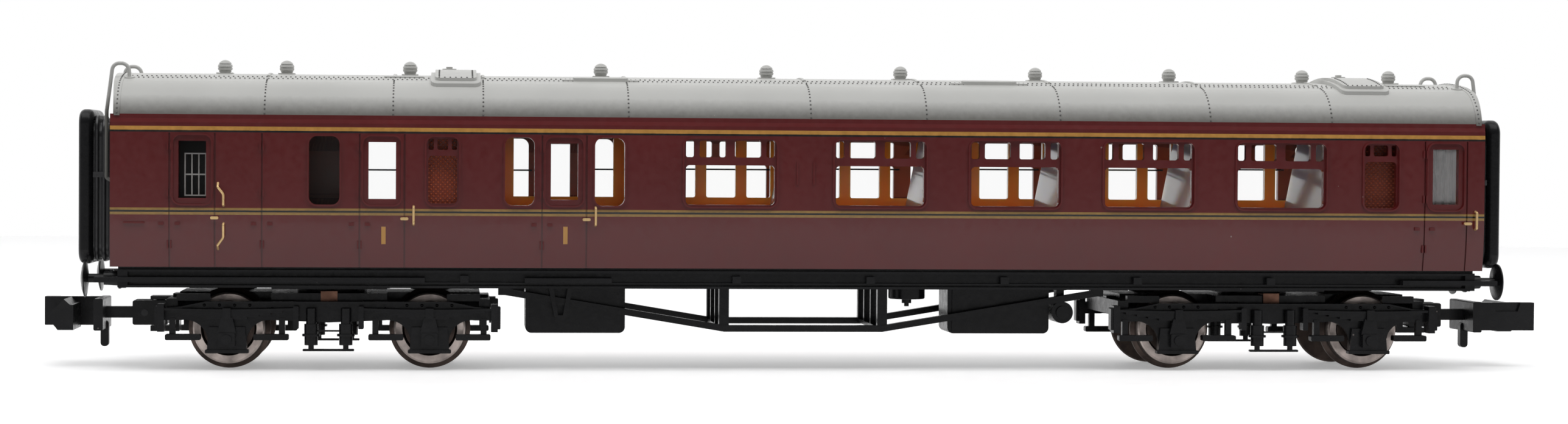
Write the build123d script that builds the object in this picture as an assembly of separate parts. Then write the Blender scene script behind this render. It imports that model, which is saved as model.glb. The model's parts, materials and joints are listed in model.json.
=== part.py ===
from build123d import *
from math import acos, asin, atan2, cos, radians, sin, sqrt, tan
import os

# Model passenger coach, bow-ended brake composite, for 9 mm gauge track. Millimetres.
# Origin: centre of the coach, on the surface that the wheel flanges stand on.
# +X runs along the coach towards the saloon end, -X is the guard's end, -Y is the compartment side.

# ---- Body and roof ----
BODY_HALF_LENGTH = 62.7      # to the body's corners
END_BOW = 0.5                # bulge of each end on the centre line
BODY_HALF_WIDTH = 9.4
BODY_BOTTOM_Z = 9.35
BODY_TOP_Z = 22.95
BODY_WALL = 0.8
TUMBLEHOME = 0.5             # how far the sides tuck in at the bottom
TUMBLEHOME_TOP_Z = 14.5
CORNICE_DEPTH = 0.12
CORNICE_HEIGHT = 0.38        # upright strip under the roof
CORNICE_SLOPE = 0.35         # height of the slope below that strip
ROOF_RISE = 3.85
ROOF_MAIN_RADIUS = 25.0
ROOF_SHOULDER_RADIUS = 4.1
ROOF_WALL = 0.8
ROOF_END_INSET = 0.27
ROOF_LIP = 0.5               # thickness of the lip that locates the roof
ROOF_LIP_DEPTH = 0.7
SLIP_FIT = 0.05              # gap between mouldings that push together

# ---- Doors and windows: x positions are of the coach, z positions are above the surface ----
DOOR_WIDTH = 4.0
DOOR_FRAME = (3.36, 14.98, 21.10)       # width, bottom, top of the raised bolection
DOOR_OPENING = (2.44, 15.50, 20.58)
DOOR_TOP_Z = 21.3
GUARD_DOOR_X = -55.5
LEFT_VESTIBULE_DOOR_X = -38.7
MIDDLE_DOOR_X = -22.4
END_DOOR_X = 59.03
LUGGAGE_LEAF = (-53.53, -49.35)         # the second leaf of the luggage doors
WINDOW_Z = (14.97, 21.08)
WINDOW_CORNER = 0.7
LARGE_WINDOW_WIDTH = 8.4
LIGHT_BOTTOM_Z = 15.13
TRANSOM_Z = (18.70, 19.42)
LAVATORY_TRANSOM_Z = (19.40, 19.92)
TOPLIGHT_TOP_Z = 20.93
TOPLIGHTS = ((0.17, 0.92), (1.40, 3.79), (4.61, 7.00), (7.48, 8.23))
FRAME_RECESS = 0.22
BOLECTION = (0.16, 0.15)                # width and height of the raised edge of each window
SEAM = (0.14, 0.16)                     # width and depth of the grooves between doors
HINGE_Z = (20.10, 15.97, 11.37)
STOP_Z = 13.23
STOP_OFFSET = 0.72
HINGE = (0.42, 0.70)                    # width and height
STOP = (0.47, 0.28)
LUMP_HEIGHT = 0.19                      # of hinges and stops above the side
HANDLE_Z = 13.75
HANDLE_REACH = 0.42                     # of the grab handles beyond the side
HANDLE_RADIUS = 0.11
PLAIN_WINDOWS = ((-45.20, -42.48), (-27.73, -25.09), (-19.66, -16.97))
LAVATORY_WINDOWS = ((-34.75, -31.86), (51.25, 54.55))
COMPARTMENT_WINDOWS = (-11.60, 2.07, 14.50, 26.89, 39.28)
CORRIDOR_PLAIN_WINDOWS = ((-40.90, -37.30), (-34.75, -31.86), (-27.79, -25.15), (-19.66, -16.97),
                          (50.20, 53.20))
CORRIDOR_WINDOWS = ((-10.39, -1.99, -7.10), (2.06, 10.46, 5.62), (15.85, 24.25, 18.87),
                    (28.14, 36.54, 32.54), (42.20, 48.65, 45.78))     # ends and toplight bar of each
CORRIDOR_BAR = 0.75                     # width of that bar
CORRIDOR_DOORS = (13.17, 39.30)

# ---- Inside ----
GLAZING = 0.45
GLAZING_Z = (14.3, 21.9)
INTERIOR_FLOOR_Z = 10.75
INTERIOR_FLOOR = 0.5
PARTITION = 0.6
PARTITION_TOP_Z = 21.9
CORRIDOR_Y = 4.6
COMPARTMENT_WALLS = (-14.3, -0.58, 12.48, 24.90, 37.30, 49.57)
OTHER_WALLS = (-47.2, -41.6, -35.9, -30.2, 55.95)
SEAT_DEPTH = 3.2
SEAT_TOP_Z = 13.6
SEAT_BACK = (1.7, 0.12)                 # thickness at the cushion and at the top
SEAT_BACK_TOP_Z = 21.4
SILL_Z = 15.6
SLIDING_DOORS = (-6.98, 6.85, 19.33, 31.92, 44.50)
SLIDING_DOOR_REACH = 4.72               # from a door's centre to the ends of the lights beside it
PILLAR = 1.05
PILLAR_SPACING = 3.84
VESTIBULE_OPENING = (-26.68, -17.24)
GUARD_LOCKER = (-59.2, -54.0, 5.6)      # ends and inner face
WINDOW_BARS = 0.3                       # depth of the bars behind the guard's windows
BAR_UPRIGHTS = (-56.23, 0.61, 5)        # first, pitch and count
BAR_RAIL_Z = (15.72, 17.59, 19.45)

# ---- Roof fittings ----
VENTILATOR_X = (-53.35, -47.71, -36.39, -18.71, -3.18, 9.50, 22.36, 35.23, 48.14, 56.59)
VENTILATOR_RADIUS = 0.68
VENTILATOR_CENTRE = 0.6                 # height of its centre above the ridge
HATCHES = ((-34.42, -29.92, -32.77), (49.75, 54.40, 51.70))   # ends and filler cap of each hatch
HATCH_HALF_WIDTH = 7.3
HATCH_STEP = 0.3
LENS_STRIPS = ((-22.50, -15.45), (13.45, 20.60))
FLAT_STRIPS = ((-38.70, -35.10), (55.10, 58.80))
END_RAIL_Y = 5.1
END_RAIL_RADIUS = 0.17
END_RAIL_FOOT = 1.56                    # from the end wall to the foot on the roof
END_RAIL_RISE = 1.24                    # height of the arch above that foot

# ---- Ends ----
GANGWAY_REACH = 3.4                     # of the gangway's face beyond the body's corners
GANGWAY_HALF_WIDTH = 4.4
GANGWAY_Z = (9.4, 23.4)
GANGWAY_PLATE = 1.3
GANGWAY_FOLDS = 3
GANGWAY_STRAP_Z = (17.25, 17.75)
BUFFER_REACH = 2.96                     # of the buffers' faces beyond the body's corners
BUFFER_Y = 5.87
BUFFER_Z = 8.2
BUFFER_HEAD_RADIUS = 1.7

# ---- Underframe ----
FLOOR_THICKNESS = 0.8
SOLEBAR_BOTTOM_Z = 7.5
SOLEBAR_TOP_Z = 9.11
SOLEBAR_FACE_INSET = 0.65               # from the body's widest side to the solebar's face
SOLEBAR_DEPTH = 1.15
SOLEBAR_WEB = 0.6
SOLEBAR_FLANGE = 0.22
SOLEBAR_END_INSET = 0.6                 # from the body's corners to the solebars' ends
STEP_BOARDS = ((-64.1, -34.87), (-25.9, -18.07), (55.08, 64.05))
STEP_BOARD = (0.6, 8.02, 8.45)          # reach, bottom and top
CLIP_X = (-31.32, -6.72, 5.54, 17.90, 30.27, 42.76)
TRUSS_CENTRE_X = -0.35
TRUSS_Y = 6.4
TRUSS_BAR = (0.7, 0.6)                  # width and height of the bar
TRUSS_LOW_Z = 3.8
TRUSS_END_Z = 7.1
TRUSS_HALF_LENGTH = 27.3
POST_HALF_SPACING = 7.3
POST_WIDTH = 0.9
INNER_POST_Y = 2.1
BATTERY_BOX = (-25.75, -16.65)
EQUIPMENT_BOX = (13.2, 22.7)
BOX_Y = (-5.7, -0.9)
BOX_Z = (3.3, 8.0)
VACUUM_CYLINDER = (9.7, -3.5, 1.7)      # x, y, radius
DYNAMO = (23.8, 5.3, 1.0)               # x, z, radius
HANGER_X = -22.6

# ---- Bogies, in their own frame: x from the bogie's centre, positive towards the coach's end ----
BOGIE_INSET = 19.215                    # from the body's corners to the bogie's centre
HALF_WHEELBASE = 9.057
WHEEL_BACK_Y = 3.7
WHEEL_WIDTH = 1.7
FLANGE_RADIUS = 3.7
FLANGE_WIDTH = 0.5
TREAD_RADIUS = 3.28
AXLE_RADIUS = 0.75
AXLE_SHOULDER_Y = 6.45
AXLE_TIP_Y = 7.25
AXLE_TIP_RADIUS = 0.1
BEARING_GAP = 0.06
FRAME_Y = 6.5                           # inner face of the side frames
FRAME_WEB = 0.5
FRAME_TOP_Z = 6.2
FRAME_HALF_LENGTH = 15.0
WHEEL_CLEARANCE = 0.15
BOLSTER_Z = (4.7, 6.9)
BOLSTER_HALF_LENGTH = 3.0
SPINE_HALF_WIDTH = 1.4
CENTRE_PLATE = (3.2, 0.25)              # radius and height
PIVOT_GAP = 0.05
PIVOT_SHANK_RADIUS = 1.05
PIVOT_HEAD_RADIUS = 1.6
PICKUP = 0.2

# ---- Couplers, in the bogie's frame ----
SWING_PIN_X = 15.7
SWING_PIN_RADIUS = 0.4
LIFT_PIN_X = 17.0
LIFT_PIN_Z = 4.85
LIFT_PIN_RADIUS = 0.32
YOKE_HALF_WIDTH = 1.3
YOKE_Z = (3.72, 5.98)
YOKE_END_X = 18.1
YOKE_GAP = 0.08
STEM_HALF_WIDTH = 0.5
STEM_HALF_HEIGHT = 0.52
COUPLER_HALF_WIDTH = 3.2
COUPLER_Z = (3.5, 6.15)
COUPLER_TIP_X = 26.5
BACK_PLATE_X = (20.55, 21.4)
COUPLER_WALL = 1.0

AXLE_Z = FLANGE_RADIUS
GANGWAY_FACE_X = BODY_HALF_LENGTH + GANGWAY_REACH
BUFFER_FACE_X = BODY_HALF_LENGTH + BUFFER_REACH
SOLEBAR_HALF_LENGTH = BODY_HALF_LENGTH - SOLEBAR_END_INSET
BOGIE_CENTRE_X = BODY_HALF_LENGTH - BOGIE_INSET
FLOOR_TOP_Z = BODY_BOTTOM_Z + FLOOR_THICKNESS
ROOF_TOP_Z = BODY_TOP_Z + ROOF_RISE
PIVOT_SEAT_Z = BOLSTER_Z[1] + CENTRE_PLATE[1] + PIVOT_GAP
SOLEBAR_FACE_Y = BODY_HALF_WIDTH - SOLEBAR_FACE_INSET
SOLEBAR_BACK_Y = SOLEBAR_FACE_Y - SOLEBAR_DEPTH
CUT = 1.0                               # how far cutting shapes run past the faces they cut


# ---- Shape helpers ----
def block(x0, x1, y0, y1, z0, z1):
    """A box between two corners."""
    return Pos((x0 + x1) / 2, (y0 + y1) / 2, (z0 + z1) / 2) * Box(x1 - x0, y1 - y0, z1 - z0)


def side_plate(x0, x1, z0, z1, y0, y1, corner=0.0):
    """An upright plate from y0 to y1, with rounded corners seen from the side."""
    size = (x1 - x0, z1 - z0)
    outline = RectangleRounded(*size, corner) if corner else Rectangle(*size)
    return Pos((x0 + x1) / 2, y1, (z0 + z1) / 2) * extrude(Plane.XZ * outline, y1 - y0)


def side_shape(points, y0, y1):
    """A plate from y0 to y1 with a polygon outline of (x, z) points."""
    face = make_face(Polyline(*points, close=True))
    return Pos(0, y1, 0) * extrude(Plane.XZ * face, y1 - y0)


def cross_rod(x, z, radius, y0, y1):
    """A round bar along Y."""
    return Pos(x, (y0 + y1) / 2, z) * Rot(90, 0, 0) * Cylinder(radius, y1 - y0)


def upright(x, y, radius, z0, z1):
    """A round bar along Z."""
    return Pos(x, y, (z0 + z1) / 2) * Cylinder(radius, z1 - z0)


def long_rod(x0, x1, y, z, radius):
    """A round bar along X."""
    return Pos((x0 + x1) / 2, y, z) * Rot(0, 90, 0) * Cylinder(radius, x1 - x0)


def on_side(side, y0, y1):
    """A range of y measured outwards on one side, as a low and a high y."""
    return (y0, y1) if side > 0 else (-y1, -y0)


def both_sides(shape):
    return [shape, mirror(shape, Plane.XZ)]


def both_ends(shape):
    """A shape at the saloon end and its copy at the guard's end."""
    return [shape, Rot(0, 0, 180) * shape]


# ---- Body and roof sections ----
def tumblehome_radius():
    height = TUMBLEHOME_TOP_Z - BODY_BOTTOM_Z
    return (height**2 + TUMBLEHOME**2) / (2 * TUMBLEHOME)


def side_y(z):
    """Half width of the body's outside at a height."""
    if z >= TUMBLEHOME_TOP_Z:
        return BODY_HALF_WIDTH
    radius = tumblehome_radius()
    return BODY_HALF_WIDTH - radius + sqrt(radius**2 - (TUMBLEHOME_TOP_Z - z) ** 2)


def body_section(inset, cornice=0.0):
    """Cross-section of the body, drawn in from its outside by inset."""
    top_y = BODY_HALF_WIDTH - inset - cornice
    strip_z = BODY_TOP_Z - CORNICE_HEIGHT
    middle_z = (BODY_BOTTOM_Z + TUMBLEHOME_TOP_Z) / 2
    widest = BODY_HALF_WIDTH - inset
    bottom = (side_y(BODY_BOTTOM_Z) - inset, BODY_BOTTOM_Z)
    belly = (side_y(middle_z) - inset, middle_z)
    waist = (widest, TUMBLEHOME_TOP_Z)
    right = [
        ThreePointArc(bottom, belly, waist),
        Polyline(waist, (widest, strip_z - CORNICE_SLOPE), (top_y, strip_z), (top_y, BODY_TOP_Z)),
    ]
    left = [mirror(edge, Plane.YZ) for edge in right]
    floor = Line(bottom, (-bottom[0], bottom[1]))
    lid = Line((top_y, BODY_TOP_Z), (-top_y, BODY_TOP_Z))
    return make_face([edge for line in (*right, *left, floor, lid) for edge in line.edges()])


def roof_centres():
    """Centre of the top arc, centre of the shoulder arc, and the angle where they meet, from upright."""
    main_z = ROOF_TOP_Z - ROOF_MAIN_RADIUS
    corner_y, corner_z = BODY_HALF_WIDTH - CORNICE_DEPTH, BODY_TOP_Z - main_z
    reach = sqrt(corner_y**2 + corner_z**2)
    between = ROOF_MAIN_RADIUS - ROOF_SHOULDER_RADIUS
    spread = acos((between**2 + reach**2 - ROOF_SHOULDER_RADIUS**2) / (2 * between * reach))
    angle = atan2(corner_y, corner_z) - spread
    return main_z, (between * sin(angle), main_z + between * cos(angle)), angle


def roof_z(y, raised=0.0):
    """Height of the roof's outside at a distance from the centre line."""
    main_z, (shoulder_y, shoulder_z), angle = roof_centres()
    radius = ROOF_MAIN_RADIUS + raised
    if abs(y) <= radius * sin(angle):
        return main_z + sqrt(radius**2 - y**2)
    return shoulder_z + sqrt((ROOF_SHOULDER_RADIUS + raised) ** 2 - (abs(y) - shoulder_y) ** 2)


def roof_section(raised=0.0):
    """Cross-section of the roof down to the body's top, raised above or below its outside."""
    main_z, (shoulder_y, shoulder_z), angle = roof_centres()
    radius = ROOF_SHOULDER_RADIUS + raised
    drop = asin((BODY_TOP_Z - shoulder_z) / radius)
    foot = (shoulder_y + radius * cos(drop), BODY_TOP_Z)
    middle_angle = (radians(90) - angle + drop) / 2
    bulge = (shoulder_y + radius * cos(middle_angle), shoulder_z + radius * sin(middle_angle))
    joint = (shoulder_y + radius * sin(angle), shoulder_z + radius * cos(angle))
    crown = (0, main_z + ROOF_MAIN_RADIUS + raised)
    shoulder = ThreePointArc(foot, bulge, joint)
    top = ThreePointArc(joint, crown, (-joint[0], joint[1]))
    base = Line(foot, (-foot[0], foot[1]))
    return make_face([shoulder, mirror(shoulder, Plane.YZ), top, base])


def bowed_plan(inset):
    """Plan of the coach with both ends bowed, drawn in at the ends by inset."""
    radius = (BODY_HALF_WIDTH**2 + END_BOW**2) / (2 * END_BOW)
    centre = BODY_HALF_LENGTH + END_BOW - radius
    plan = Rectangle(2 * BODY_HALF_LENGTH + 2 * CUT, 4 * BODY_HALF_WIDTH)
    for end in (1, -1):
        plan = plan & Pos(end * centre, 0) * Circle(radius - inset)
    return plan


def long_solid(section, inset):
    """A cross-section run along the coach and cut to the bowed plan."""
    reach = BODY_HALF_LENGTH + 2 * CUT
    run = Pos(-reach, 0, 0) * extrude(Plane.YZ * section, 2 * reach)
    return run & extrude(bowed_plan(inset), 2 * ROOF_TOP_Z)


def end_x(y):
    """x of the body's outer end at a distance from the centre line."""
    radius = (BODY_HALF_WIDTH**2 + END_BOW**2) / (2 * END_BOW)
    return BODY_HALF_LENGTH + END_BOW - radius + sqrt(radius**2 - y**2)


# ---- Body shell ----
def wall_cut(side, x0, x1, z0, z1, corner=0.0, depth=None):
    """A cut into one side: right through the wall, or to a depth from its outside."""
    inner = BODY_HALF_WIDTH - (BODY_WALL + CUT if depth is None else depth)
    return side_plate(x0, x1, z0, z1, *on_side(side, inner, BODY_HALF_WIDTH + CUT), corner)


def bolection(side, x0, x1, z0, z1, corner):
    """A thin raised edge round an opening."""
    width, height = BOLECTION
    span = on_side(side, BODY_HALF_WIDTH - BODY_WALL / 4, BODY_HALF_WIDTH + height)
    outer = side_plate(x0 - width, x1 + width, z0 - width, z1 + width, *span, corner + width)
    return outer - wall_cut(side, x0, x1, z0, z1, corner)


def plain_window(side, x0, x1):
    box = (x0, x1, *WINDOW_Z, WINDOW_CORNER)
    return [bolection(side, *box)], [wall_cut(side, *box)]


def framed_window(side, x0, x1, toplights, transom):
    """A window whose toplights and lower light are cut in a frame set back from the side."""
    box = (x0, x1, *WINDOW_Z, WINDOW_CORNER)
    edge = toplights[0][0]
    cuts = [wall_cut(side, *box, depth=FRAME_RECESS)]
    cuts.append(wall_cut(side, x0 + edge, x1 - edge, LIGHT_BOTTOM_Z, transom[0], WINDOW_CORNER / 2))
    for left, right in toplights:
        corner = min(0.2, (right - left) / 3)
        cuts.append(wall_cut(side, x0 + left, x0 + right, transom[1], TOPLIGHT_TOP_Z, corner))
    return [bolection(side, *box)], cuts


def lavatory_window(side, x0, x1):
    """A small window with three toplights."""
    width = x1 - x0
    toplights = ((0.17, 0.64), (0.97, width - 0.97), (width - 0.64, width - 0.17))
    return framed_window(side, x0, x1, toplights, LAVATORY_TRANSOM_Z)


def corridor_window(side, x0, x1, bar_x):
    """A large window with one bar between its toplights."""
    width, bar = x1 - x0, bar_x - x0
    edge, half = TOPLIGHTS[0][0], CORRIDOR_BAR / 2
    toplights = ((edge, bar - half), (bar + half, width - edge))
    return framed_window(side, x0, x1, toplights, TRANSOM_Z)


def seam(side, x, top_z=DOOR_TOP_Z):
    """A groove between a door and the side, which follows the tumblehome."""
    width, depth = SEAM
    ring = body_section(-CUT) - body_section(depth)
    groove = Pos(x - width / 2, 0, 0) * extrude(Plane.YZ * ring, width)
    reach = on_side(side, BODY_HALF_WIDTH / 2, BODY_HALF_WIDTH + CUT)
    return groove & block(x - width, x + width, *reach, BODY_BOTTOM_Z - CUT, top_z)


def side_lump(side, x, z, width, height, proud):
    """A small raised block on the side."""
    y = side_y(z)
    return block(x - width / 2, x + width / 2, *on_side(side, y - BODY_WALL / 2, y + proud),
                 z - height / 2, z + height / 2)


def hinges_and_stops(side, x):
    lumps = [side_lump(side, x, z, *HINGE, LUMP_HEIGHT) for z in HINGE_Z]
    for offset in (-STOP_OFFSET, STOP_OFFSET):
        lumps.append(side_lump(side, x + offset, STOP_Z, *STOP, LUMP_HEIGHT))
    return lumps


def droplight_door(side, x):
    """A hinged door with a framed droplight; its hinges are on its guard's-end edge."""
    half = DOOR_WIDTH / 2
    frame_width, *frame_z = DOOR_FRAME
    light_width, *light_z = DOOR_OPENING
    frame = (x - frame_width / 2, x + frame_width / 2, *frame_z, WINDOW_CORNER)
    adds = [bolection(side, *frame)] + hinges_and_stops(side, x - half)
    cuts = [wall_cut(side, *frame, depth=FRAME_RECESS / 2)]
    cuts.append(wall_cut(side, x - light_width / 2, x + light_width / 2, *light_z))
    cuts += [seam(side, x - half), seam(side, x + half)]
    return adds, cuts


def doors_on(side):
    """x of the hinged doors on a side, the guard's first."""
    others = [LEFT_VESTIBULE_DOOR_X] if side < 0 else list(CORRIDOR_DOORS)
    return [GUARD_DOOR_X, MIDDLE_DOOR_X, END_DOOR_X] + others


def luggage_leaf(side):
    """The blank leaf beside the guard's door."""
    return hinges_and_stops(side, LUGGAGE_LEAF[1]), [seam(side, LUGGAGE_LEAF[1])]


def side_features(side):
    """Everything raised on one side, and everything cut in it."""
    parts = [droplight_door(side, x) for x in doors_on(side)] + [luggage_leaf(side)]
    if side < 0:
        parts += [plain_window(side, *span) for span in PLAIN_WINDOWS]
        parts += [framed_window(side, x, x + LARGE_WINDOW_WIDTH, TOPLIGHTS, TRANSOM_Z)
                  for x in COMPARTMENT_WINDOWS]
        parts += [lavatory_window(side, *span) for span in LAVATORY_WINDOWS]
    else:
        parts += [plain_window(side, *span) for span in CORRIDOR_PLAIN_WINDOWS]
        parts += [corridor_window(side, *window) for window in CORRIDOR_WINDOWS]
    adds = [shape for raised, _ in parts for shape in raised]
    cuts = [shape for _, cut in parts for shape in cut]
    adds.append(side_lump(side, -60.6, 13.31, 1.85, 0.16, 0.2))
    adds += [side_lump(side, x, 18.02, 0.16, 2.1, 0.1) for x in (-1.32, 0.19)]
    return adds, cuts


def body_shell():
    shell = long_solid(body_section(0, CORNICE_DEPTH), 0)
    hollow = long_solid(body_section(BODY_WALL), BODY_WALL)
    shell = shell - [hollow, Pos(0, 0, CUT) * hollow, Pos(0, 0, -CUT) * hollow]
    for side in (-1, 1):
        adds, cuts = side_features(side)
        shell = shell + adds
        shell = shell - cuts
    return shell


# ---- Roof ----
def roof():
    outside = long_solid(roof_section(), ROOF_END_INSET)
    inside = long_solid(roof_section(-ROOF_WALL), ROOF_END_INSET + ROOF_WALL)
    shell = outside - inside
    lip_gap = BODY_WALL + SLIP_FIT
    length, width = 2 * (BODY_HALF_LENGTH - lip_gap), 2 * (BODY_HALF_WIDTH - lip_gap)
    ring = Rectangle(length, width) - Rectangle(length - 2 * ROOF_LIP, width - 2 * ROOF_LIP)
    lip = Pos(0, 0, BODY_TOP_Z - ROOF_LIP_DEPTH) * extrude(ring, 2 * ROOF_LIP_DEPTH)
    return shell + (lip & long_solid_below_roof())


def long_solid_below_roof():
    """Everything under the roof's outside, to trim the lip with."""
    tall = roof_section(-ROOF_WALL / 2)
    reach = BODY_HALF_LENGTH + CUT
    under = Pos(-reach, 0, 0) * extrude(Plane.YZ * tall, 2 * reach)
    return under + block(-reach, reach, -BODY_HALF_WIDTH, BODY_HALF_WIDTH, BODY_BOTTOM_Z, BODY_TOP_Z)


def ventilator(x):
    """A round ventilator with grooves round its cowl, on a neck and a square foot."""
    foot_half, neck = VENTILATOR_RADIUS + 0.08, 0.62 * VENTILATOR_RADIUS
    centre_z = ROOF_TOP_Z + VENTILATOR_CENTRE
    cowl = Sphere(VENTILATOR_RADIUS)
    for z in (-0.3, 0.0, 0.3):
        radius = sqrt(VENTILATOR_RADIUS**2 - z**2) - 0.06
        cowl -= Pos(0, 0, z) * (Cylinder(2 * VENTILATOR_RADIUS, 0.09) - Cylinder(radius, 0.09))
    body = Pos(x, 0, centre_z) * cowl + upright(x, 0, neck, ROOF_TOP_Z - CUT / 2, centre_z)
    z = (ROOF_TOP_Z - CUT / 2, ROOF_TOP_Z + 0.1)
    body += block(x - foot_half, x + foot_half, -foot_half, foot_half, *z)
    return body - Pos(x - CUT, 0, 0) * extrude(Plane.YZ * roof_section(), 2 * CUT)


def raised_pad(x0, x1, y0, y1, raised, corner):
    """A pad that follows the roof's curve and stands above it."""
    pad = Pos(x0, 0, 0) * extrude(Plane.YZ * (roof_section(raised) - roof_section()), x1 - x0)
    plan = RectangleRounded(x1 - x0, y1 - y0, corner)
    return pad & Pos((x0 + x1) / 2, (y0 + y1) / 2, BODY_TOP_Z) * extrude(plan, 2 * ROOF_RISE)


def hatch(x0, x1, cap_x):
    """Two stepped tiers over the ridge, with a filler cap."""
    tier = HATCH_STEP
    lower = raised_pad(x0, x1, -HATCH_HALF_WIDTH, HATCH_HALF_WIDTH, tier, 0.6)
    inner = HATCH_HALF_WIDTH - 0.5
    upper = raised_pad(x0 + 0.38, x1 - 0.38, -inner, inner, 1.9 * tier, 0.5)
    top_z = ROOF_TOP_Z + 1.9 * tier
    cap = upright(cap_x, 0, 0.66, top_z - 0.2, top_z + 0.08) + upright(cap_x, 0, 0.3, top_z, top_z + 0.26)
    return lower + upper + cap


def roof_strips():
    strips = []
    for x0, x1 in LENS_STRIPS:
        thin = raised_pad(x0, x1, -5.15, -4.75, 0.12, 0.15)
        lens = raised_pad(x0 + 1.0, x1 - 1.0, -5.2, -4.45, 0.3, 0.3)
        strips += both_sides(thin + lens)
    for x0, x1 in FLAT_STRIPS:
        strips += both_sides(raised_pad(x0, x1, -3.95, -3.3, 0.1, 0.05))
    return strips


def end_rail(side):
    """A wire from the roof, over its end and down to the end wall."""
    y = side * END_RAIL_Y
    wall_x = end_x(y)
    foot = (wall_x - END_RAIL_FOOT, y, roof_z(y) + 0.02)
    low_z, top_z = 17.2, foot[2] + END_RAIL_RISE
    outer_x = wall_x + 0.45
    path = FilletPolyline(foot, (foot[0] + 0.05, y, top_z), (wall_x - 0.1, y, top_z),
                          (outer_x, y, BODY_TOP_Z + 0.3), (outer_x, y, low_z), (wall_x, y, low_z - 0.25),
                          radius=(0.7, 0.65, 2.0, 0.2))
    wire = sweep(Plane(origin=path @ 0, z_dir=path % 0) * Circle(END_RAIL_RADIUS), path)
    rose = raised_pad(foot[0] - 0.5, foot[0] + 0.5, y - 0.5, y + 0.5, 0.08, 0.45)
    return wire + rose


# ---- Glazing and interior ----
def glazing(side):
    """A clear strip inside one side."""
    outer = BODY_HALF_WIDTH - BODY_WALL
    span = BODY_HALF_LENGTH - BODY_WALL - 1.2
    return block(-span, span, *on_side(side, outer - GLAZING, outer), *GLAZING_Z)


def inner_half_width():
    return BODY_HALF_WIDTH - BODY_WALL - GLAZING


def frosted_panes():
    y = -inner_half_width()
    return [block(x0 - 0.3, x1 + 0.3, y, y + 0.25, WINDOW_Z[0] - 0.2, WINDOW_Z[1] + 0.2)
            for x0, x1 in LAVATORY_WINDOWS]


def interior_tray():
    """The floor of the seating moulding, with sills along both sides."""
    half_length = BODY_HALF_LENGTH - BODY_WALL - 1.0
    half_width = side_y(INTERIOR_FLOOR_Z) - BODY_WALL - 2 * SLIP_FIT
    top = INTERIOR_FLOOR_Z + INTERIOR_FLOOR
    return block(-half_length, half_length, -half_width, half_width, INTERIOR_FLOOR_Z, top)


def corridor_partition():
    """The long partition: a sill, a header, and pillars beside each sliding door."""
    half = PARTITION / 2
    y = (CORRIDOR_Y - half, CORRIDOR_Y + half)
    floor_z = INTERIOR_FLOOR_Z + INTERIOR_FLOOR
    light_z = (SILL_Z, PARTITION_TOP_Z - 0.5)
    ends = (OTHER_WALLS[3], COMPARTMENT_WALLS[0], COMPARTMENT_WALLS[-1])
    vestibule, compartments = [block(a + half, b - half, *y, floor_z, PARTITION_TOP_Z)
                               for a, b in zip(ends, ends[1:])]
    inner, outer = PILLAR_SPACING / 2 - PILLAR / 2, PILLAR_SPACING / 2 + PILLAR / 2
    spans = ((-SLIDING_DOOR_REACH, -outer), (-inner, inner), (outer, SLIDING_DOOR_REACH))
    lights = [side_plate(x + a, x + b, *light_z, *y, 0.2) for x in SLIDING_DOORS for a, b in spans]
    return [vestibule - side_plate(*VESTIBULE_OPENING, *light_z, *y), compartments - lights]


def cross_partitions():
    """Walls across the coach; the compartments' stop at the corridor."""
    reach = inner_half_width() - SLIP_FIT
    floor_z = INTERIOR_FLOOR_Z + INTERIOR_FLOOR
    corridor = CORRIDOR_Y + PARTITION / 2
    half = PARTITION / 2
    walls = [(x, -reach, corridor - PARTITION) for x in COMPARTMENT_WALLS[1:-1]]
    walls += [(x, -reach, corridor) for x in (COMPARTMENT_WALLS[0], COMPARTMENT_WALLS[-1])]
    walls += [(x, -reach, reach) for x in OTHER_WALLS[:2]]
    walls += [(x, -reach, corridor) for x in OTHER_WALLS[2:]]
    solids = [block(x - half, x + half, y0, y1, floor_z, PARTITION_TOP_Z) for x, y0, y1 in walls]
    backs = [(OTHER_WALLS[2], OTHER_WALLS[3], -2.6), (COMPARTMENT_WALLS[-1], OTHER_WALLS[4], -2.6)]
    solids += [block(a + half, b - half, y, y + PARTITION, floor_z, PARTITION_TOP_Z) for a, b, y in backs]
    x0, x1, y0 = GUARD_LOCKER
    locker = block(x0, x1, y0, inner_half_width() - WINDOW_BARS - SLIP_FIT, floor_z, PARTITION_TOP_Z)
    return solids + [locker]


def seat(x, facing):
    """A bench against a cross wall at x, looking along +X or -X."""
    floor_z = INTERIOR_FLOOR_Z + INTERIOR_FLOOR
    y = (-inner_half_width() + 3 * SLIP_FIT, CORRIDOR_Y - PARTITION / 2)
    start = x + facing * PARTITION / 2
    profile = [(0, floor_z), (SEAT_DEPTH, floor_z), (SEAT_DEPTH + 0.2, SEAT_TOP_Z),
               (SEAT_BACK[0], SEAT_TOP_Z - 0.2), (SEAT_BACK[1], SEAT_BACK_TOP_Z),
               (0, SEAT_BACK_TOP_Z)]
    return side_shape([(start + facing * dx, z) for dx, z in profile], *y)


def seats():
    walls = COMPARTMENT_WALLS
    return [seat(a, 1) for a in walls[:-1]] + [seat(b, -1) for b in walls[1:]]


def ballast_weight():
    return block(-50, 50, -6.5, 6.5, FLOOR_TOP_Z, INTERIOR_FLOOR_Z)


# ---- Door furniture ----
def locked_seams(side):
    """x of the lock edge of each door on a side."""
    return [x + DOOR_WIDTH / 2 for x in doors_on(side)]


def door_handle(side, x):
    """A spindle with a lever across the seam."""
    y = side_y(HANDLE_Z - 0.13)
    spindle = cross_rod(x, HANDLE_Z, 0.13, *on_side(side, y, y + 0.42))
    span = on_side(side, y + 0.22, y + 0.44)
    return spindle + side_plate(x - 0.36, x + 0.36, HANDLE_Z - 0.13, HANDLE_Z + 0.13, *span, 0.12)


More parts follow.
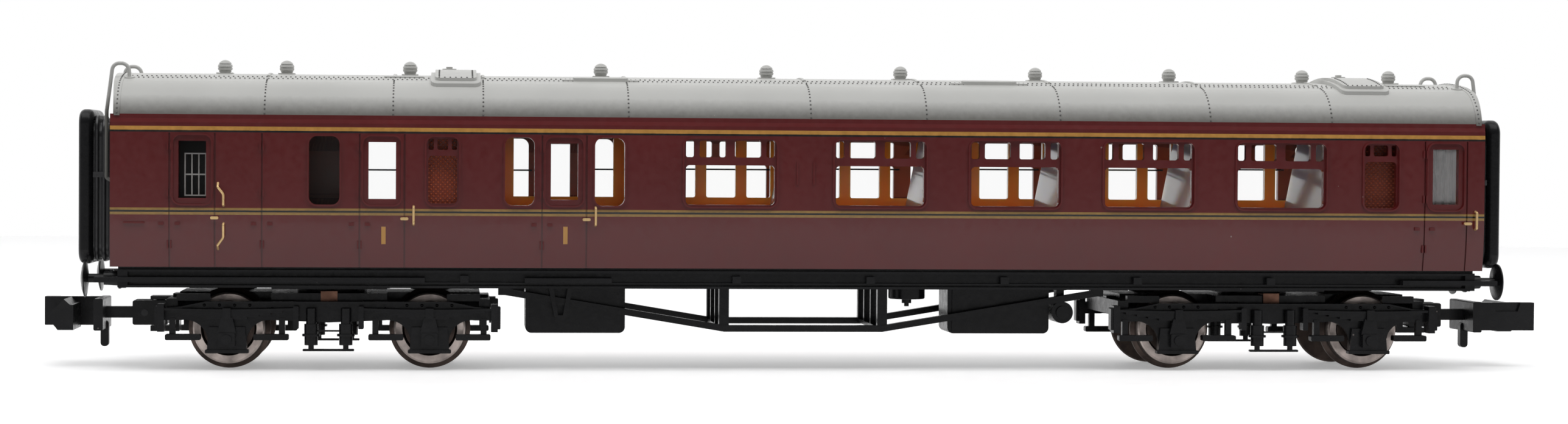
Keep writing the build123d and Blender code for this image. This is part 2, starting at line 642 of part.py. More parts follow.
def commode_handle(side, x, z0, z1):
    """An upright grab handle on two feet."""
    y0, y1 = side_y(z0), side_y(z1)
    path = FilletPolyline((x, side * y0, z0), (x, side * (y0 + HANDLE_REACH), z0 + 0.1),
                          (x, side * (y1 + HANDLE_REACH), z1 - 0.1), (x, side * y1, z1), radius=0.09)
    return handle_wire(path)


def guard_handle(side, x, foot_z, bend_z, tip_z):
    """A grab handle that runs straight from its foot, then leans over to its tip."""
    up = 1 if tip_z > foot_z else -1
    foot_y, bend_y, tip_y = side_y(foot_z), side_y(bend_z), side_y(tip_z)
    tip_x = x - 0.5
    path = FilletPolyline((x, side * foot_y, foot_z), (x, side * (foot_y + HANDLE_REACH), foot_z + up * 0.1),
                          (x, side * (bend_y + HANDLE_REACH), bend_z),
                          (tip_x, side * (tip_y + HANDLE_REACH), tip_z - up * 0.35),
                          (tip_x, side * tip_y, tip_z), radius=(0.09, 0.4, 0.12))
    return handle_wire(path)


def handle_wire(path):
    return sweep(Plane(origin=path @ 0, z_dir=path % 0) * Circle(HANDLE_RADIUS), path)


def commode_handles():
    handles = []
    for side in (-1, 1):
        guard, *others = locked_seams(side)
        handles.append(guard_handle(side, guard + 0.79, 14.83, 15.85, 16.85))
        handles.append(guard_handle(side, guard + 0.79, 13.25, 12.0, 10.95))
        handles += [commode_handle(side, x + 0.82, 13.2, 14.85) for x in others]
    return handles


def guard_window_bars():
    """Upright bars and three rails behind the glass of the guard's doors."""
    outer = inner_half_width()
    first, pitch, count = BAR_UPRIGHTS
    last = first + (count - 1) * pitch
    low, high = BAR_RAIL_Z[0], BAR_RAIL_Z[-1]
    grilles = []
    for side in (-1, 1):
        y = on_side(side, outer - WINDOW_BARS, outer)
        rails = [block(first - 0.05, last + 0.05, *y, z - 0.06, z + 0.06) for z in BAR_RAIL_Z]
        uprights = [block(first + i * pitch - 0.05, first + i * pitch + 0.05, *y, low, high)
                    for i in range(count)]
        grilles.append(rails[0] + rails[1:] + uprights)
    return grilles


# ---- Ends ----
def gangway_bellows():
    """Folded bellows from the body's end to the gangway plate, with a passage recessed in them."""
    half, (low, high) = GANGWAY_HALF_WIDTH, GANGWAY_Z
    start = end_x(half) - 0.15
    stop = GANGWAY_FACE_X - GANGWAY_PLATE
    pitch = (stop - start) / GANGWAY_FOLDS
    floor = low + 0.2
    stack = gangway_layer(half - 0.35, (floor + 0.3, high - 1.2), start, stop - start)
    for index in range(GANGWAY_FOLDS):
        top = high - 0.5 - 0.25 * (GANGWAY_FOLDS - 1 - index)
        ridge = gangway_layer(half - 0.1, (floor, top), start + (index + 0.2) * pitch, 0.6 * pitch)
        stack += chamfer(ridge.edges().filter_by(Plane.YZ), 0.1)
    stack += block(start, stop, -half + 0.05, half - 0.05, *GANGWAY_STRAP_Z)
    body_end = long_solid(body_section(0), 0)
    return stack - body_end - block(stop - 1.2, stop + CUT, -2.4, 2.4, low + 1.2, high - 1.6)


def gangway_layer(half, z, start, thickness):
    """A slice of the gangway, with rounded corners seen from its end."""
    outline = RectangleRounded(2 * half, z[1] - z[0], 1.3)
    return Pos(start, 0, (z[0] + z[1]) / 2) * extrude(Plane.YZ * outline, thickness)


def gangway_plate():
    """The rounded frame that meets the next coach."""
    half, (low, high) = GANGWAY_HALF_WIDTH + 0.2, GANGWAY_Z
    stop = GANGWAY_FACE_X
    plate = gangway_layer(half, (low, high), stop - GANGWAY_PLATE, GANGWAY_PLATE)
    plate = fillet(plate.edges().filter_by(Plane.YZ), 0.4 * GANGWAY_PLATE)
    doorway = block(stop - GANGWAY_PLATE - CUT, stop + CUT, -2.4, 2.4, low + 1.2, high - 1.6)
    return plate - doorway


def buffer(side):
    """Head, shank, housing and base of one buffer, at the saloon end."""
    face = BUFFER_FACE_X
    base_x = SOLEBAR_HALF_LENGTH
    dome_radius = 4.4
    edge = sqrt(dome_radius**2 - BUFFER_HEAD_RADIUS**2)
    rim_x = face - dome_radius + edge
    half = BUFFER_HEAD_RADIUS / 2
    half_way = (half, face - dome_radius + sqrt(dome_radius**2 - half**2))
    outline = Polyline((0, face), (0, base_x), (0.95, base_x), (0.95, base_x + 0.2), (0.68, base_x + 0.25),
                       (0.6, base_x + 1.5), (0.4, base_x + 1.5), (0.4, rim_x - 0.35),
                       (BUFFER_HEAD_RADIUS, rim_x - 0.12), (BUFFER_HEAD_RADIUS, rim_x))
    dome = ThreePointArc((BUFFER_HEAD_RADIUS, rim_x), half_way, (0, face))
    solid = revolve(make_face([*outline.edges(), dome]), Axis.Y)
    return Pos(0, side * BUFFER_Y, BUFFER_Z) * Rot(0, 0, -90) * solid


# ---- Underframe ----
def chassis_floor():
    """Floor plate inside the body's skirt; under it, a boss and a pad for each bogie's screw."""
    half_length = BODY_HALF_LENGTH - BODY_WALL - 2 * SLIP_FIT
    half_width = side_y(BODY_BOTTOM_Z) - BODY_WALL - SLIP_FIT
    floor = block(-half_length, half_length, -half_width, half_width, BODY_BOTTOM_Z, FLOOR_TOP_Z)
    bosses = []
    reach = wheel_free_reach()
    for x in (-BOGIE_CENTRE_X, BOGIE_CENTRE_X):
        screw = upright(x, 0, PIVOT_SHANK_RADIUS, PIVOT_SEAT_Z - CUT, FLOOR_TOP_Z - 0.3)
        floor -= screw
        boss = upright(x, 0, CENTRE_PLATE[0], PIVOT_SEAT_Z, BODY_BOTTOM_Z)
        boss += block(x - reach, x + reach, -6.0, 6.0, PIVOT_SEAT_Z + 0.05, BODY_BOTTOM_Z)
        bosses.append(boss - screw)
    return [floor, *bosses]


def solebar(side):
    """A channel with its flanges outwards, with small clips on its face."""
    reach = SOLEBAR_HALF_LENGTH
    web = block(-reach, reach, *on_side(side, SOLEBAR_BACK_Y, SOLEBAR_BACK_Y + SOLEBAR_WEB),
                SOLEBAR_BOTTOM_Z, BODY_BOTTOM_Z)
    face = on_side(side, SOLEBAR_BACK_Y, SOLEBAR_FACE_Y)
    bar = web + block(-reach, reach, *face, SOLEBAR_TOP_Z - SOLEBAR_FLANGE, SOLEBAR_TOP_Z)
    bar += block(-reach, reach, *face, SOLEBAR_BOTTOM_Z, SOLEBAR_BOTTOM_Z + SOLEBAR_FLANGE)
    angle = on_side(side, SOLEBAR_BACK_Y, SOLEBAR_FACE_Y - 0.1)
    bar += block(-reach + 1.2, reach - 1.2, *angle, STEP_BOARD[1] - 0.12, STEP_BOARD[1])
    ends = [block(x, x + 0.9, *face, SOLEBAR_BOTTOM_Z, SOLEBAR_TOP_Z) for x in (-reach, reach - 0.9)]
    clips = [block(x - 0.38, x + 0.38, *on_side(side, SOLEBAR_BACK_Y, SOLEBAR_FACE_Y + 0.12),
                   STEP_BOARD[1], STEP_BOARD[1] + 0.62) for x in CLIP_X]
    return (bar + ends + clips) - step_boards(side)


def step_boards(side):
    reach, low, high = STEP_BOARD
    span = on_side(side, SOLEBAR_BACK_Y + SOLEBAR_WEB, SOLEBAR_FACE_Y + reach)
    return [block(x0, x1, *span, low, high) for x0, x1 in STEP_BOARDS]


def headstock():
    x = SOLEBAR_HALF_LENGTH
    beam = block(x - 0.6, x, -SOLEBAR_BACK_Y, SOLEBAR_BACK_Y, SOLEBAR_BOTTOM_Z - 0.1, BODY_BOTTOM_Z)
    hook_plate = block(x, x + 0.15, -0.9, 0.9, 7.7, 8.7)
    hook = [(0, 8.0), (1.5, 8.0), (1.7, 8.7), (1.4, 8.75), (1.2, 8.35), (0, 8.35)]
    return beam + hook_plate + side_shape([(x + dx, z) for dx, z in hook], -0.2, 0.2)


def truss(side):
    """A bar that runs level between the queen posts and slopes up to a bracket at each end."""
    width, height = TRUSS_BAR
    y = on_side(side, TRUSS_Y - width / 2, TRUSS_Y + width / 2)
    x_end, x_bend = TRUSS_HALF_LENGTH, POST_HALF_SPACING
    low, end, half = TRUSS_LOW_Z, TRUSS_END_Z, height / 2
    outline = [(-x_end, end - half), (-x_bend, low - half), (x_bend, low - half), (x_end, end - half),
               (x_end, end + half), (x_bend, low + half), (-x_bend, low + half), (-x_end, end + half)]
    bar = side_shape([(TRUSS_CENTRE_X + x, z) for x, z in outline], *y)
    for x in (-x_end, x_end):
        x += TRUSS_CENTRE_X
        bar += block(x - 0.6, x + 0.6, *y, end - half, BODY_BOTTOM_Z)
    return bar


def queen_posts():
    """Two frames of four posts on a cross beam."""
    frames = []
    for x in (TRUSS_CENTRE_X - POST_HALF_SPACING, TRUSS_CENTRE_X + POST_HALF_SPACING):
        half = POST_WIDTH / 2
        top_of_bar = TRUSS_LOW_Z + TRUSS_BAR[1] / 2
        inner = TRUSS_Y - TRUSS_BAR[0] / 2
        frame = block(x - half, x + half, -inner, inner, TRUSS_LOW_Z - 0.15, TRUSS_LOW_Z + 0.2)
        for y in (-INNER_POST_Y, INNER_POST_Y):
            frame += block(x - half, x + half, y - 0.25, y + 0.25, TRUSS_LOW_Z, BODY_BOTTOM_Z)
        for side in (-1, 1):
            post, cheek = on_side(side, inner - 0.15, TRUSS_Y + 0.3), on_side(side, inner - 0.15, inner)
            frame += block(x - half, x + half, *post, top_of_bar, BODY_BOTTOM_Z)
            frame += block(x - half, x + half, *cheek, TRUSS_LOW_Z, top_of_bar)
        frames.append(frame - [truss(1), truss(-1)])
    return frames


def hung_box(x0, x1):
    """A box with a lidded front, on two straps under the floor."""
    y0, y1 = BOX_Y
    low, high = BOX_Z
    box = side_plate(x0, x1, low, high, y0 + 0.15, y1, 0.55)
    box += side_plate(x0 + 0.42, x1 - 0.35, low + 0.12, high - 0.1, y0, y1 - 0.3, 0.15)
    for x in (x0 + 2.0, x1 - 2.0):
        box += block(x - 0.5, x + 0.5, y0 + 0.6, y1 - 0.6, high - 0.3, BODY_BOTTOM_Z)
    return box


def vacuum_cylinder():
    x, y, radius = VACUUM_CYLINDER
    drum = fillet(upright(x, y, radius, 6.4, 8.9).edges().sort_by(Axis.Z)[0], 0.15)
    drum += upright(x, y, 0.45, 6.0, 6.5) + upright(x, y, 0.22, 5.7, 6.0)
    return drum + block(x - 0.6, x + 0.6, y - 0.6, y + 0.6, 8.8, BODY_BOTTOM_Z)


def dynamo():
    """A drum along Y in a hanger, with a pulley on its shaft."""
    x, z, radius = DYNAMO
    drum = cross_rod(x, z, radius, -6.4, -3.2)
    drum += cross_rod(x, z, 0.6 * radius, -6.6, -6.3) + cross_rod(x, z, 0.7 * radius, -3.3, -2.7)
    return drum + block(x - 0.35, x + 0.35, -5.4, -4.2, z + radius - 0.15, BODY_BOTTOM_Z)


def brake_hanger():
    """A V of flat strap under the floor, with a cross shaft through its point."""
    x, low = HANGER_X, 4.5
    y = (-7.15, -6.9)
    top = SOLEBAR_BOTTOM_Z + 0.8
    outline = [(1.25, top), (0.55, low + 0.3), (0.25, low)]
    hollow = [(0.8, top + 0.1), (0.22, low + 0.5)]
    outer = side_shape([(x - dx, z) for dx, z in outline] + [(x + dx, z) for dx, z in reversed(outline)], *y)
    inner = side_shape([(x - dx, z) for dx, z in hollow] + [(x + dx, z) for dx, z in reversed(hollow)],
                       y[0] - 0.1, y[1] + 0.1)
    bridge = block(x - 1.3, x + 1.3, y[0], -6.5, top - 0.3, BODY_BOTTOM_Z)
    return (outer - inner) + bridge


def pivot_screw():
    """A shouldered screw up through the bogie into the floor's boss."""
    head_z = BOLSTER_Z[0] + 0.1
    seat_z = head_z + 0.55
    head = upright(BOGIE_CENTRE_X, 0, PIVOT_HEAD_RADIUS, head_z, seat_z)
    shank = upright(BOGIE_CENTRE_X, 0, PIVOT_SHANK_RADIUS, seat_z, FLOOR_TOP_Z - 0.3)
    slot = block(BOGIE_CENTRE_X - 2, BOGIE_CENTRE_X + 2, -0.2, 0.2, head_z - CUT, head_z + 0.25)
    return head + shank - slot


# ---- Bogie, in its own frame; its outer end points along +X ----
def place(shape, end):
    """Put a bogie part under the saloon end, or turned about under the guard's end."""
    return Rot(0, 0, 0 if end > 0 else 180) * (Pos(BOGIE_CENTRE_X, 0, 0) * shape)


def wheel_free_reach():
    """Half length of the plates that fit between the wheels of a bogie."""
    return HALF_WHEELBASE - FLANGE_RADIUS - WHEEL_CLEARANCE


def bogie_frame():
    low, high = BOLSTER_Z
    reach, back = FRAME_Y - PICKUP, WHEEL_BACK_Y - 0.35
    frame = block(-14.4, 14.4, -SPINE_HALF_WIDTH, SPINE_HALF_WIDTH, 5.0, 6.6)
    frame += block(-13.6, 13.6, -back, back, 6.3, high)
    frame += block(-wheel_free_reach(), wheel_free_reach(), -reach, reach, 6.3, high)
    frame += block(-BOLSTER_HALF_LENGTH, BOLSTER_HALF_LENGTH, -reach, reach, low, high)
    frame += upright(0, 0, CENTRE_PLATE[0], high - 0.1, high + CENTRE_PLATE[1])
    for end in (-1, 1):
        x0, x1 = sorted((end * 13.5, end * 14.5))
        frame += block(x0, x1, -FRAME_Y, FRAME_Y, 5.0, 6.4)
        x0, x1 = sorted((end * 10.6, end * 13.6))
        for y0, y1 in ((-FRAME_Y, -5.75), (5.75, FRAME_Y)):
            frame += block(x0, x1, y0, y1, 6.22, 6.85)
    seat_z = BOLSTER_Z[0] + 0.1 + 0.55 + PIVOT_GAP
    frame -= upright(0, 0, PIVOT_SHANK_RADIUS + BEARING_GAP, low - CUT, high + CUT)
    frame -= upright(0, 0, PIVOT_HEAD_RADIUS + 0.15, low - CUT, seat_z)
    return frame + coupling_nose()


def coupling_nose():
    """Two lugs on the outer end beam and the pin between them that the yoke swings on."""
    gap = YOKE_GAP
    low, high = YOKE_Z
    lugs = block(14.0, SWING_PIN_X + 0.8, -1.1, 1.1, high + gap, high + gap + 0.3)
    lugs += block(14.0, SWING_PIN_X + 0.8, -1.1, 1.1, low - gap - 0.5, low - gap)
    lugs += block(13.9, 14.45, -1.1, 1.1, low - gap - 0.5, 6.6)
    return lugs + upright(SWING_PIN_X, 0, SWING_PIN_RADIUS, low - gap - 0.2, high + gap + 0.2)


def arch_outline():
    """Outline of a side frame: a trapezium girder over an arch at each axle."""
    a = HALF_WHEELBASE
    top, low, foot = FRAME_TOP_Z, 4.5, 1.85
    end = FRAME_HALF_LENGTH
    right = [
        Polyline((0, top), (10.95, top), (13.1, top - 0.45), (end, top - 0.6), (end, low), (a + 4.1, low)),
        ThreePointArc((a + 4.1, low), (a + 2.45, 4.05), (a + 1.75, 2.9)),
        Polyline((a + 1.75, 2.9), (a + 1.75, foot), (a - 1.75, foot), (a - 1.75, 2.9)),
        ThreePointArc((a - 1.75, 2.9), (a - 2.45, 4.05), (a - 4.1, low)),
        Line((a - 4.1, low), (0, low - 0.2)),
    ]
    left = [mirror(edge, Plane.YZ) for edge in right]
    return make_face([edge for line in (*right, *left) for edge in line.edges()])


def leaf_spring(axle_x, y0, y1):
    """Five leaves, each shorter than the one above, bowed down towards the buckle."""
    leaves = []
    thickness, bow_radius = 0.17, 150.0
    for index in range(5):
        half = 6.0 - 1.05 * index
        top = 5.52 - thickness * index
        rise = half**2 / (2 * bow_radius)
        upper = ThreePointArc((-half, top + rise), (0, top), (half, top + rise))
        low = top - thickness - 0.04
        lower = ThreePointArc((-half, low + rise), (0, low), (half, low + rise))
        sides = [Line(lower @ 0, upper @ 0), Line(lower @ 1, upper @ 1)]
        leaf = extrude(Plane.XZ * make_face([upper, lower, *sides]), y1 - y0)
        leaves.append(Pos(axle_x, y1 - 0.04 * index, 0) * leaf)
    return leaves


def axle_guard(axle_x):
    """Horn guide, axlebox, spring buckle, keeper, spring hangers and brake hangers at one axle."""
    web = FRAME_Y + FRAME_WEB
    y_in = web - 0.1
    guide = [(axle_x - 1.78, 1.85), (axle_x + 1.78, 1.85), (axle_x + 1.6, 3.9), (axle_x - 1.6, 3.9)]
    seat = [(axle_x - 0.84, 3.36), (axle_x + 0.84, 3.36), (axle_x + 0.5, 4.8), (axle_x - 0.5, 4.8)]
    parts = [side_shape(guide, y_in, web + 0.35), side_shape(seat, y_in, web + 0.8)]
    parts.append(side_plate(axle_x - 0.74, axle_x + 0.74, 2.15, 3.4, y_in, web + 0.95, 0.12))
    parts.append(cross_rod(axle_x, 2.8, 0.46, y_in, web + 1.12))
    parts.append(side_plate(axle_x - 0.36, axle_x + 0.36, 4.7, 5.62, y_in, web + 0.95))
    parts.append(side_plate(axle_x - 1.95, axle_x + 1.95, 1.55, 1.87, FRAME_Y + 0.2, web + 0.55, 0.1))
    parts += leaf_spring(axle_x, y_in, web + 0.75)
    for end in (-1, 1):
        hanger = axle_x + end * 6.15
        parts.append(side_plate(hanger - 0.24, hanger + 0.24, 3.75, 5.8, y_in - 0.1, web + 0.8, 0.1))
        x0, x1 = sorted((axle_x + end * 2.35, axle_x + end * 5.5))
        parts.append(side_plate(x0, x1, 2.72, 3.26, FRAME_Y + 0.1, web + 0.45, 0.15))
        x0, x1 = sorted((axle_x + end * 4.6, axle_x + end * 5.15))
        parts.append(side_plate(x0, x1, 3.1, 4.7, FRAME_Y + 0.1, web + 0.1))
    return parts


def bolster_spring(x):
    """One coil pot of the bolster, hung from a cap on the girder."""
    y = FRAME_Y + FRAME_WEB + 0.4
    pot = upright(x, y, 0.46, 4.1, 5.6) + upright(x, y, 0.62, 3.25, 4.2)
    pot += upright(x, y, 0.8, 3.1, 3.3) + upright(x, y, 0.6, 2.3, 3.15) + upright(x, y, 0.25, 1.85, 2.35)
    return pot


def side_frame():
    """One side frame, on the +Y side, with bearings for the axles' points."""
    web = FRAME_Y + FRAME_WEB
    frame = Pos(0, web, 0) * extrude(Plane.XZ * arch_outline(), FRAME_WEB)
    parts = [side_plate(-10.95, 10.95, FRAME_TOP_Z - 0.15, FRAME_TOP_Z, FRAME_Y, web + 0.45)]
    for end in (-1, 1):
        crest = [(10.95, FRAME_TOP_Z), (13.1, FRAME_TOP_Z - 0.45), (FRAME_HALF_LENGTH, FRAME_TOP_Z - 0.6)]
        slope = crest + [(x, z - 0.15) for x, z in reversed(crest)]
        parts.append(side_shape([(end * x, z) for x, z in slope], FRAME_Y, web + 0.45))
        x0, x1 = sorted((end * (FRAME_HALF_LENGTH - 0.4), end * (FRAME_HALF_LENGTH + 0.2)))
        parts.append(side_plate(x0, x1, 3.5, FRAME_TOP_Z - 0.2, FRAME_Y, web + 0.9))
        parts += axle_guard(end * HALF_WHEELBASE)
        parts.append(bolster_spring(end * 1.55))
    parts.append(side_plate(-2.3, 2.3, 1.75, 1.95, web + 0.2, web + 0.6, 0.08))
    parts.append(side_plate(-1.1, 1.1, 3.5, 3.65, web + 0.3, web + 0.5))
    frame = frame + parts
    for end in (-1, 1):
        frame -= bearing_hollow(end * HALF_WHEELBASE)
    return frame


def axle_cone(gap):
    """Half profile of the +Y end of an axle, from the centre line, grown by gap."""
    return [(0, 0), (AXLE_RADIUS + gap, 0), (AXLE_RADIUS + gap, AXLE_SHOULDER_Y),
            (AXLE_TIP_RADIUS + gap, AXLE_TIP_Y + gap), (0, AXLE_TIP_Y + gap)]


def bearing_hollow(x):
    return Pos(x, 0, AXLE_Z) * revolve(make_face(Polyline(*axle_cone(BEARING_GAP), close=True)), Axis.Y)


def pickup_strips():
    """Springy copper strips inside the side frames, each with a tab up beside the bolster."""
    y = (FRAME_Y - PICKUP, FRAME_Y)
    strip = side_plate(-11.3, 11.3, 4.5, 5.0, *y)
    for end in (-1, 1):
        x = end * HALF_WHEELBASE
        strip += side_plate(x - 1.3, x + 1.3, 2.6, 4.6, *y, 0.3)
        strip -= bearing_hollow(x)
    strip += side_plate(-0.75, 0.75, 4.6, 7.1, *y)
    strip += block(-0.75, 0.75, 4.7, FRAME_Y, 6.95, 7.1)
    return both_sides(strip)


def wheels():
    """A pair of flanged wheels with dished faces."""
    back, front = WHEEL_BACK_Y, WHEEL_BACK_Y + WHEEL_WIDTH
    outline = [(AXLE_RADIUS, back), (FLANGE_RADIUS - 0.12, back), (FLANGE_RADIUS, back + 0.15),
               (FLANGE_RADIUS, back + 0.3), (TREAD_RADIUS + 0.08, back + FLANGE_WIDTH),
               (TREAD_RADIUS, back + 0.6), (TREAD_RADIUS - 0.06, front - 0.15), (TREAD_RADIUS - 0.2, front),
               (2.5, front), (2.3, front - 0.4), (1.2, front - 0.4), (1.1, front - 0.1),
               (AXLE_RADIUS, front - 0.1)]
    wheel = revolve(make_face(Polyline(*outline, close=True)), Axis.Y)
    return [Pos(0, 0, AXLE_Z) * shape for shape in both_sides(wheel)]


def axle():
    rod = revolve(make_face(Polyline(*axle_cone(0), close=True)), Axis.Y)
    return Pos(0, 0, AXLE_Z) * (rod + mirror(rod, Plane.XZ))


# ---- Couplers, in the bogie's frame ----
def coupler_yoke():
    """A trough that swings on the nose's pin; the coupler's stem rests in it, between its cheeks."""
    low, high = YOKE_Z
    half = YOKE_HALF_WIDTH
    slot = STEM_HALF_WIDTH + YOKE_GAP
    back = SWING_PIN_X - 0.75
    fork = side_plate(back, YOKE_END_X, low, high, -half, half, 0.2)
    rest_z = LIFT_PIN_Z - STEM_HALF_HEIGHT - YOKE_GAP
    fork -= block(SWING_PIN_X + 0.66, YOKE_END_X + CUT, -slot, slot, rest_z, high + CUT)
    fork -= upright(SWING_PIN_X, 0, SWING_PIN_RADIUS + BEARING_GAP, low - CUT, high + CUT)
    fork -= cross_rod(LIFT_PIN_X, LIFT_PIN_Z, LIFT_PIN_RADIUS, -half - CUT, half + CUT)
    mouth = [(YOKE_END_X + CUT, LIFT_PIN_Z - 0.9), (YOKE_END_X + CUT, LIFT_PIN_Z + 0.9),
             (LIFT_PIN_X + 0.75, LIFT_PIN_Z + 0.35), (LIFT_PIN_X + 0.75, LIFT_PIN_Z - 0.35)]
    for side in (-1, 1):
        fork -= side_shape(mouth, *on_side(side, half - 0.2, half + CUT))
    return fork


def coupler():
    """Hooked coupler head on a stem that turns on the lift pin."""
    half = COUPLER_HALF_WIDTH
    low, high = COUPLER_Z
    inner, tip = BACK_PLATE_X[1], COUPLER_TIP_X
    stem_low, stem_high = LIFT_PIN_Z - STEM_HALF_HEIGHT, LIFT_PIN_Z + STEM_HALF_HEIGHT
    head = side_plate(*BACK_PLATE_X, low - 0.2, high + 0.05, -half, half, 0.15)
    wall = side_plate(inner - 0.2, tip, low, high, -half, -half + COUPLER_WALL, 0.05)
    recess = [(inner + 1.0, high + 0.2), (inner + 1.35, high - 0.85), (inner + 3.5, high - 0.85),
              (inner + 3.85, high + 0.2)]
    wall -= side_shape(recess, -half - 0.1, -half + 0.3)
    nose = [(tip - 0.9, 4.6), (tip - 2.45, high), (tip - 3.0, high - 0.5), (tip - 3.3, high - 0.5),
            (tip - 3.3, low - 0.15), (tip - 1.9, low - 0.15)]
    head += wall
    head += side_shape(nose, -half + COUPLER_WALL - 0.1, half)
    head += block(LIFT_PIN_X, BACK_PLATE_X[0] + 0.1, -STEM_HALF_WIDTH, STEM_HALF_WIDTH, stem_low, stem_high)
    head += cross_rod(LIFT_PIN_X, LIFT_PIN_Z, STEM_HALF_HEIGHT, -STEM_HALF_WIDTH, STEM_HALF_WIDTH)
    tail = side_plate(BACK_PLATE_X[0] - 0.2, BACK_PLATE_X[0] + 0.55, 1.7, low + 0.6, -0.35, 0.35, 0.34)
    head += tail
    head -= cross_rod(LIFT_PIN_X, LIFT_PIN_Z, LIFT_PIN_RADIUS + BEARING_GAP, -half, half)
    return head


def coupler_pin():
    reach = YOKE_HALF_WIDTH + 0.06
    return cross_rod(LIFT_PIN_X, LIFT_PIN_Z, LIFT_PIN_RADIUS, -reach, reach)


# ---- Nodes ----
def build():
    ends = {"guard_end": -1, "saloon_end": 1}
    sides = {"compartment_side": -1, "corridor_side": 1}
    nodes = {
        "body_shell": [body_shell()],
        "roof": [roof()],
        "roof_ventilators": [ventilator(x) for x in VENTILATOR_X],
        "roof_hatches": [hatch(*span) for span in HATCHES],
        "roof_strips": roof_strips(),
        "end_rails": both_ends(end_rail(1)) + both_ends(end_rail(-1)),
        "frosted_panes": frosted_panes(),
        "interior_tray": [interior_tray()],
        "corridor_partition": corridor_partition(),
        "cross_partitions": cross_partitions(),
        "compartment_seats": seats(),
        "ballast_weight": [ballast_weight()],
        "door_handles": [door_handle(side, x) for side in (-1, 1) for x in locked_seams(side)],
        "commode_handles": commode_handles(),
        "guard_window_bars": guard_window_bars(),
        "chassis_floor": chassis_floor(),
        "solebars": [solebar(side) for side in (-1, 1)],
        "step_boards": [board for side in (-1, 1) for board in step_boards(side)],
        "headstocks": both_ends(headstock()),
        "buffers": both_ends(buffer(1)) + both_ends(buffer(-1)),
        "queen_posts": queen_posts(),
        "battery_box": [hung_box(*BATTERY_BOX)],
        "equipment_box": [hung_box(*EQUIPMENT_BOX)],
        "vacuum_cylinder": [vacuum_cylinder()],
        "dynamo": [dynamo()],
        "brake_hanger": [brake_hanger()],
        "bogie_pivot_screws": both_ends(pivot_screw()),
    }
    for name, side in sides.items():
        nodes[f"glazing_{name}"] = [glazing(side)]
        nodes[f"truss_{name}"] = [truss(side)]
    bellows, plate = gangway_bellows(), gangway_plate()
    frame, frames = bogie_frame(), both_sides(side_frame())
    strips, pair, rod = pickup_strips(), wheels(), axle()
    yoke = coupler_yoke()
    for name, end in ends.items():
        turn = Rot(0, 0, 0 if end > 0 else 180)
        nodes[f"bellows_{name}"] = [turn * bellows]
        nodes[f"gangway_plate_{name}"] = [turn * plate]
        nodes[f"bogie_frame_{name}"] = [place(frame, end)]
        nodes[f"side_frames_{name}"] = [place(shape, end) for shape in frames]
        nodes[f"pickup_strips_{name}"] = [place(shape, end) for shape in strips]
        for position, sign in (("outer", 1), ("inner", -1)):
            shift = Pos(sign * HALF_WHEELBASE, 0, 0)
            nodes[f"wheels_{name}_{position}"] = [place(shift * shape, end) for shape in pair]
            nodes[f"axle_{name}_{position}"] = [place(shift * rod, end)]
        nodes[f"coupler_yoke_{name}"] = [place(yoke, end)]
        nodes[f"coupler_{name}"] = [place(coupler(), end)]
        nodes[f"coupler_pin_{name}"] = [place(coupler_pin(), end)]
    return nodes


def solids_of(shapes):
    return [solid for shape in shapes for solid in shape.solids()]


os.makedirs("parts", exist_ok=True)
for node, shapes in build().items():
    export_step(Compound(children=solids_of(shapes)), f"parts/{node}.step")
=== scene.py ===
"""Looks, light and camera for the model passenger coach, in the CAD frame.

Sizes are in millimetres unless a comment says otherwise, and Blender works in metres.
"""
import json
import math

import bpy
from mathutils import Matrix, Vector


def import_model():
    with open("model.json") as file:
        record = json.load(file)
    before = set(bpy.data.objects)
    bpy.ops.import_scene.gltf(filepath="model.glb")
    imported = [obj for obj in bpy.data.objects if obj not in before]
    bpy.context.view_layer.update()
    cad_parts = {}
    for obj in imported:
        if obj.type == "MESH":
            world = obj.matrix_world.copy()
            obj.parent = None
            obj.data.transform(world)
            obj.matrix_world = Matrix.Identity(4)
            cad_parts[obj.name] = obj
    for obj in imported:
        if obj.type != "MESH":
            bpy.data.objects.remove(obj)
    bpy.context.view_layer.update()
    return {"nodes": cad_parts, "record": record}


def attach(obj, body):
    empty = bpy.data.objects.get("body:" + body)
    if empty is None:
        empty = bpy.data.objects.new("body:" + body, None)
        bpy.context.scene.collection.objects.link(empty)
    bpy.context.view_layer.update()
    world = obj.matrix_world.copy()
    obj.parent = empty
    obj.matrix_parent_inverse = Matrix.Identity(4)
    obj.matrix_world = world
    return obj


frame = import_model()
nodes = frame["nodes"]
MM = 0.001

# ---- Sizes shared with the CAD ----
HALF_LENGTH = 62.7
BODY_TOP = 22.95
ROOF_CORNER_Y = 9.28
ROOF_TOP = 26.8
MAIN_RADIUS = 25.0
SHOULDER_RADIUS = 4.1
ROOF_END_INSET = 0.27
BOGIE_CENTRE_X = 43.485
HALF_WHEELBASE = 9.057
FRAME_FACE_Y = 7.0
AXLE_Z = 3.7


# ---- Node helpers ----
def node(tree, kind, inputs=None, **settings):
    """A shader node with its settings, and its inputs linked or set."""
    made = tree.nodes.new(kind)
    for name, value in settings.items():
        setattr(made, name, value)
    for key, value in (inputs or {}).items():
        if isinstance(value, bpy.types.NodeSocket):
            tree.links.new(value, made.inputs[key])
        else:
            made.inputs[key].default_value = value
    return made


def math_node(tree, operation, *values):
    return node(tree, "ShaderNodeMath", dict(enumerate(values)), operation=operation).outputs[0]


def mix(tree, factor, a, b):
    """Colour a where factor is 0 and colour b where it is 1."""
    made = node(tree, "ShaderNodeMix", {0: factor, 6: a, 7: b}, data_type="RGBA")
    return made.outputs[2]


def noise(tree, where, scale, detail=3.0):
    inputs = {"Vector": where, "Scale": scale, "Detail": detail, "Roughness": 0.55}
    return node(tree, "ShaderNodeTexNoise", inputs).outputs[0]


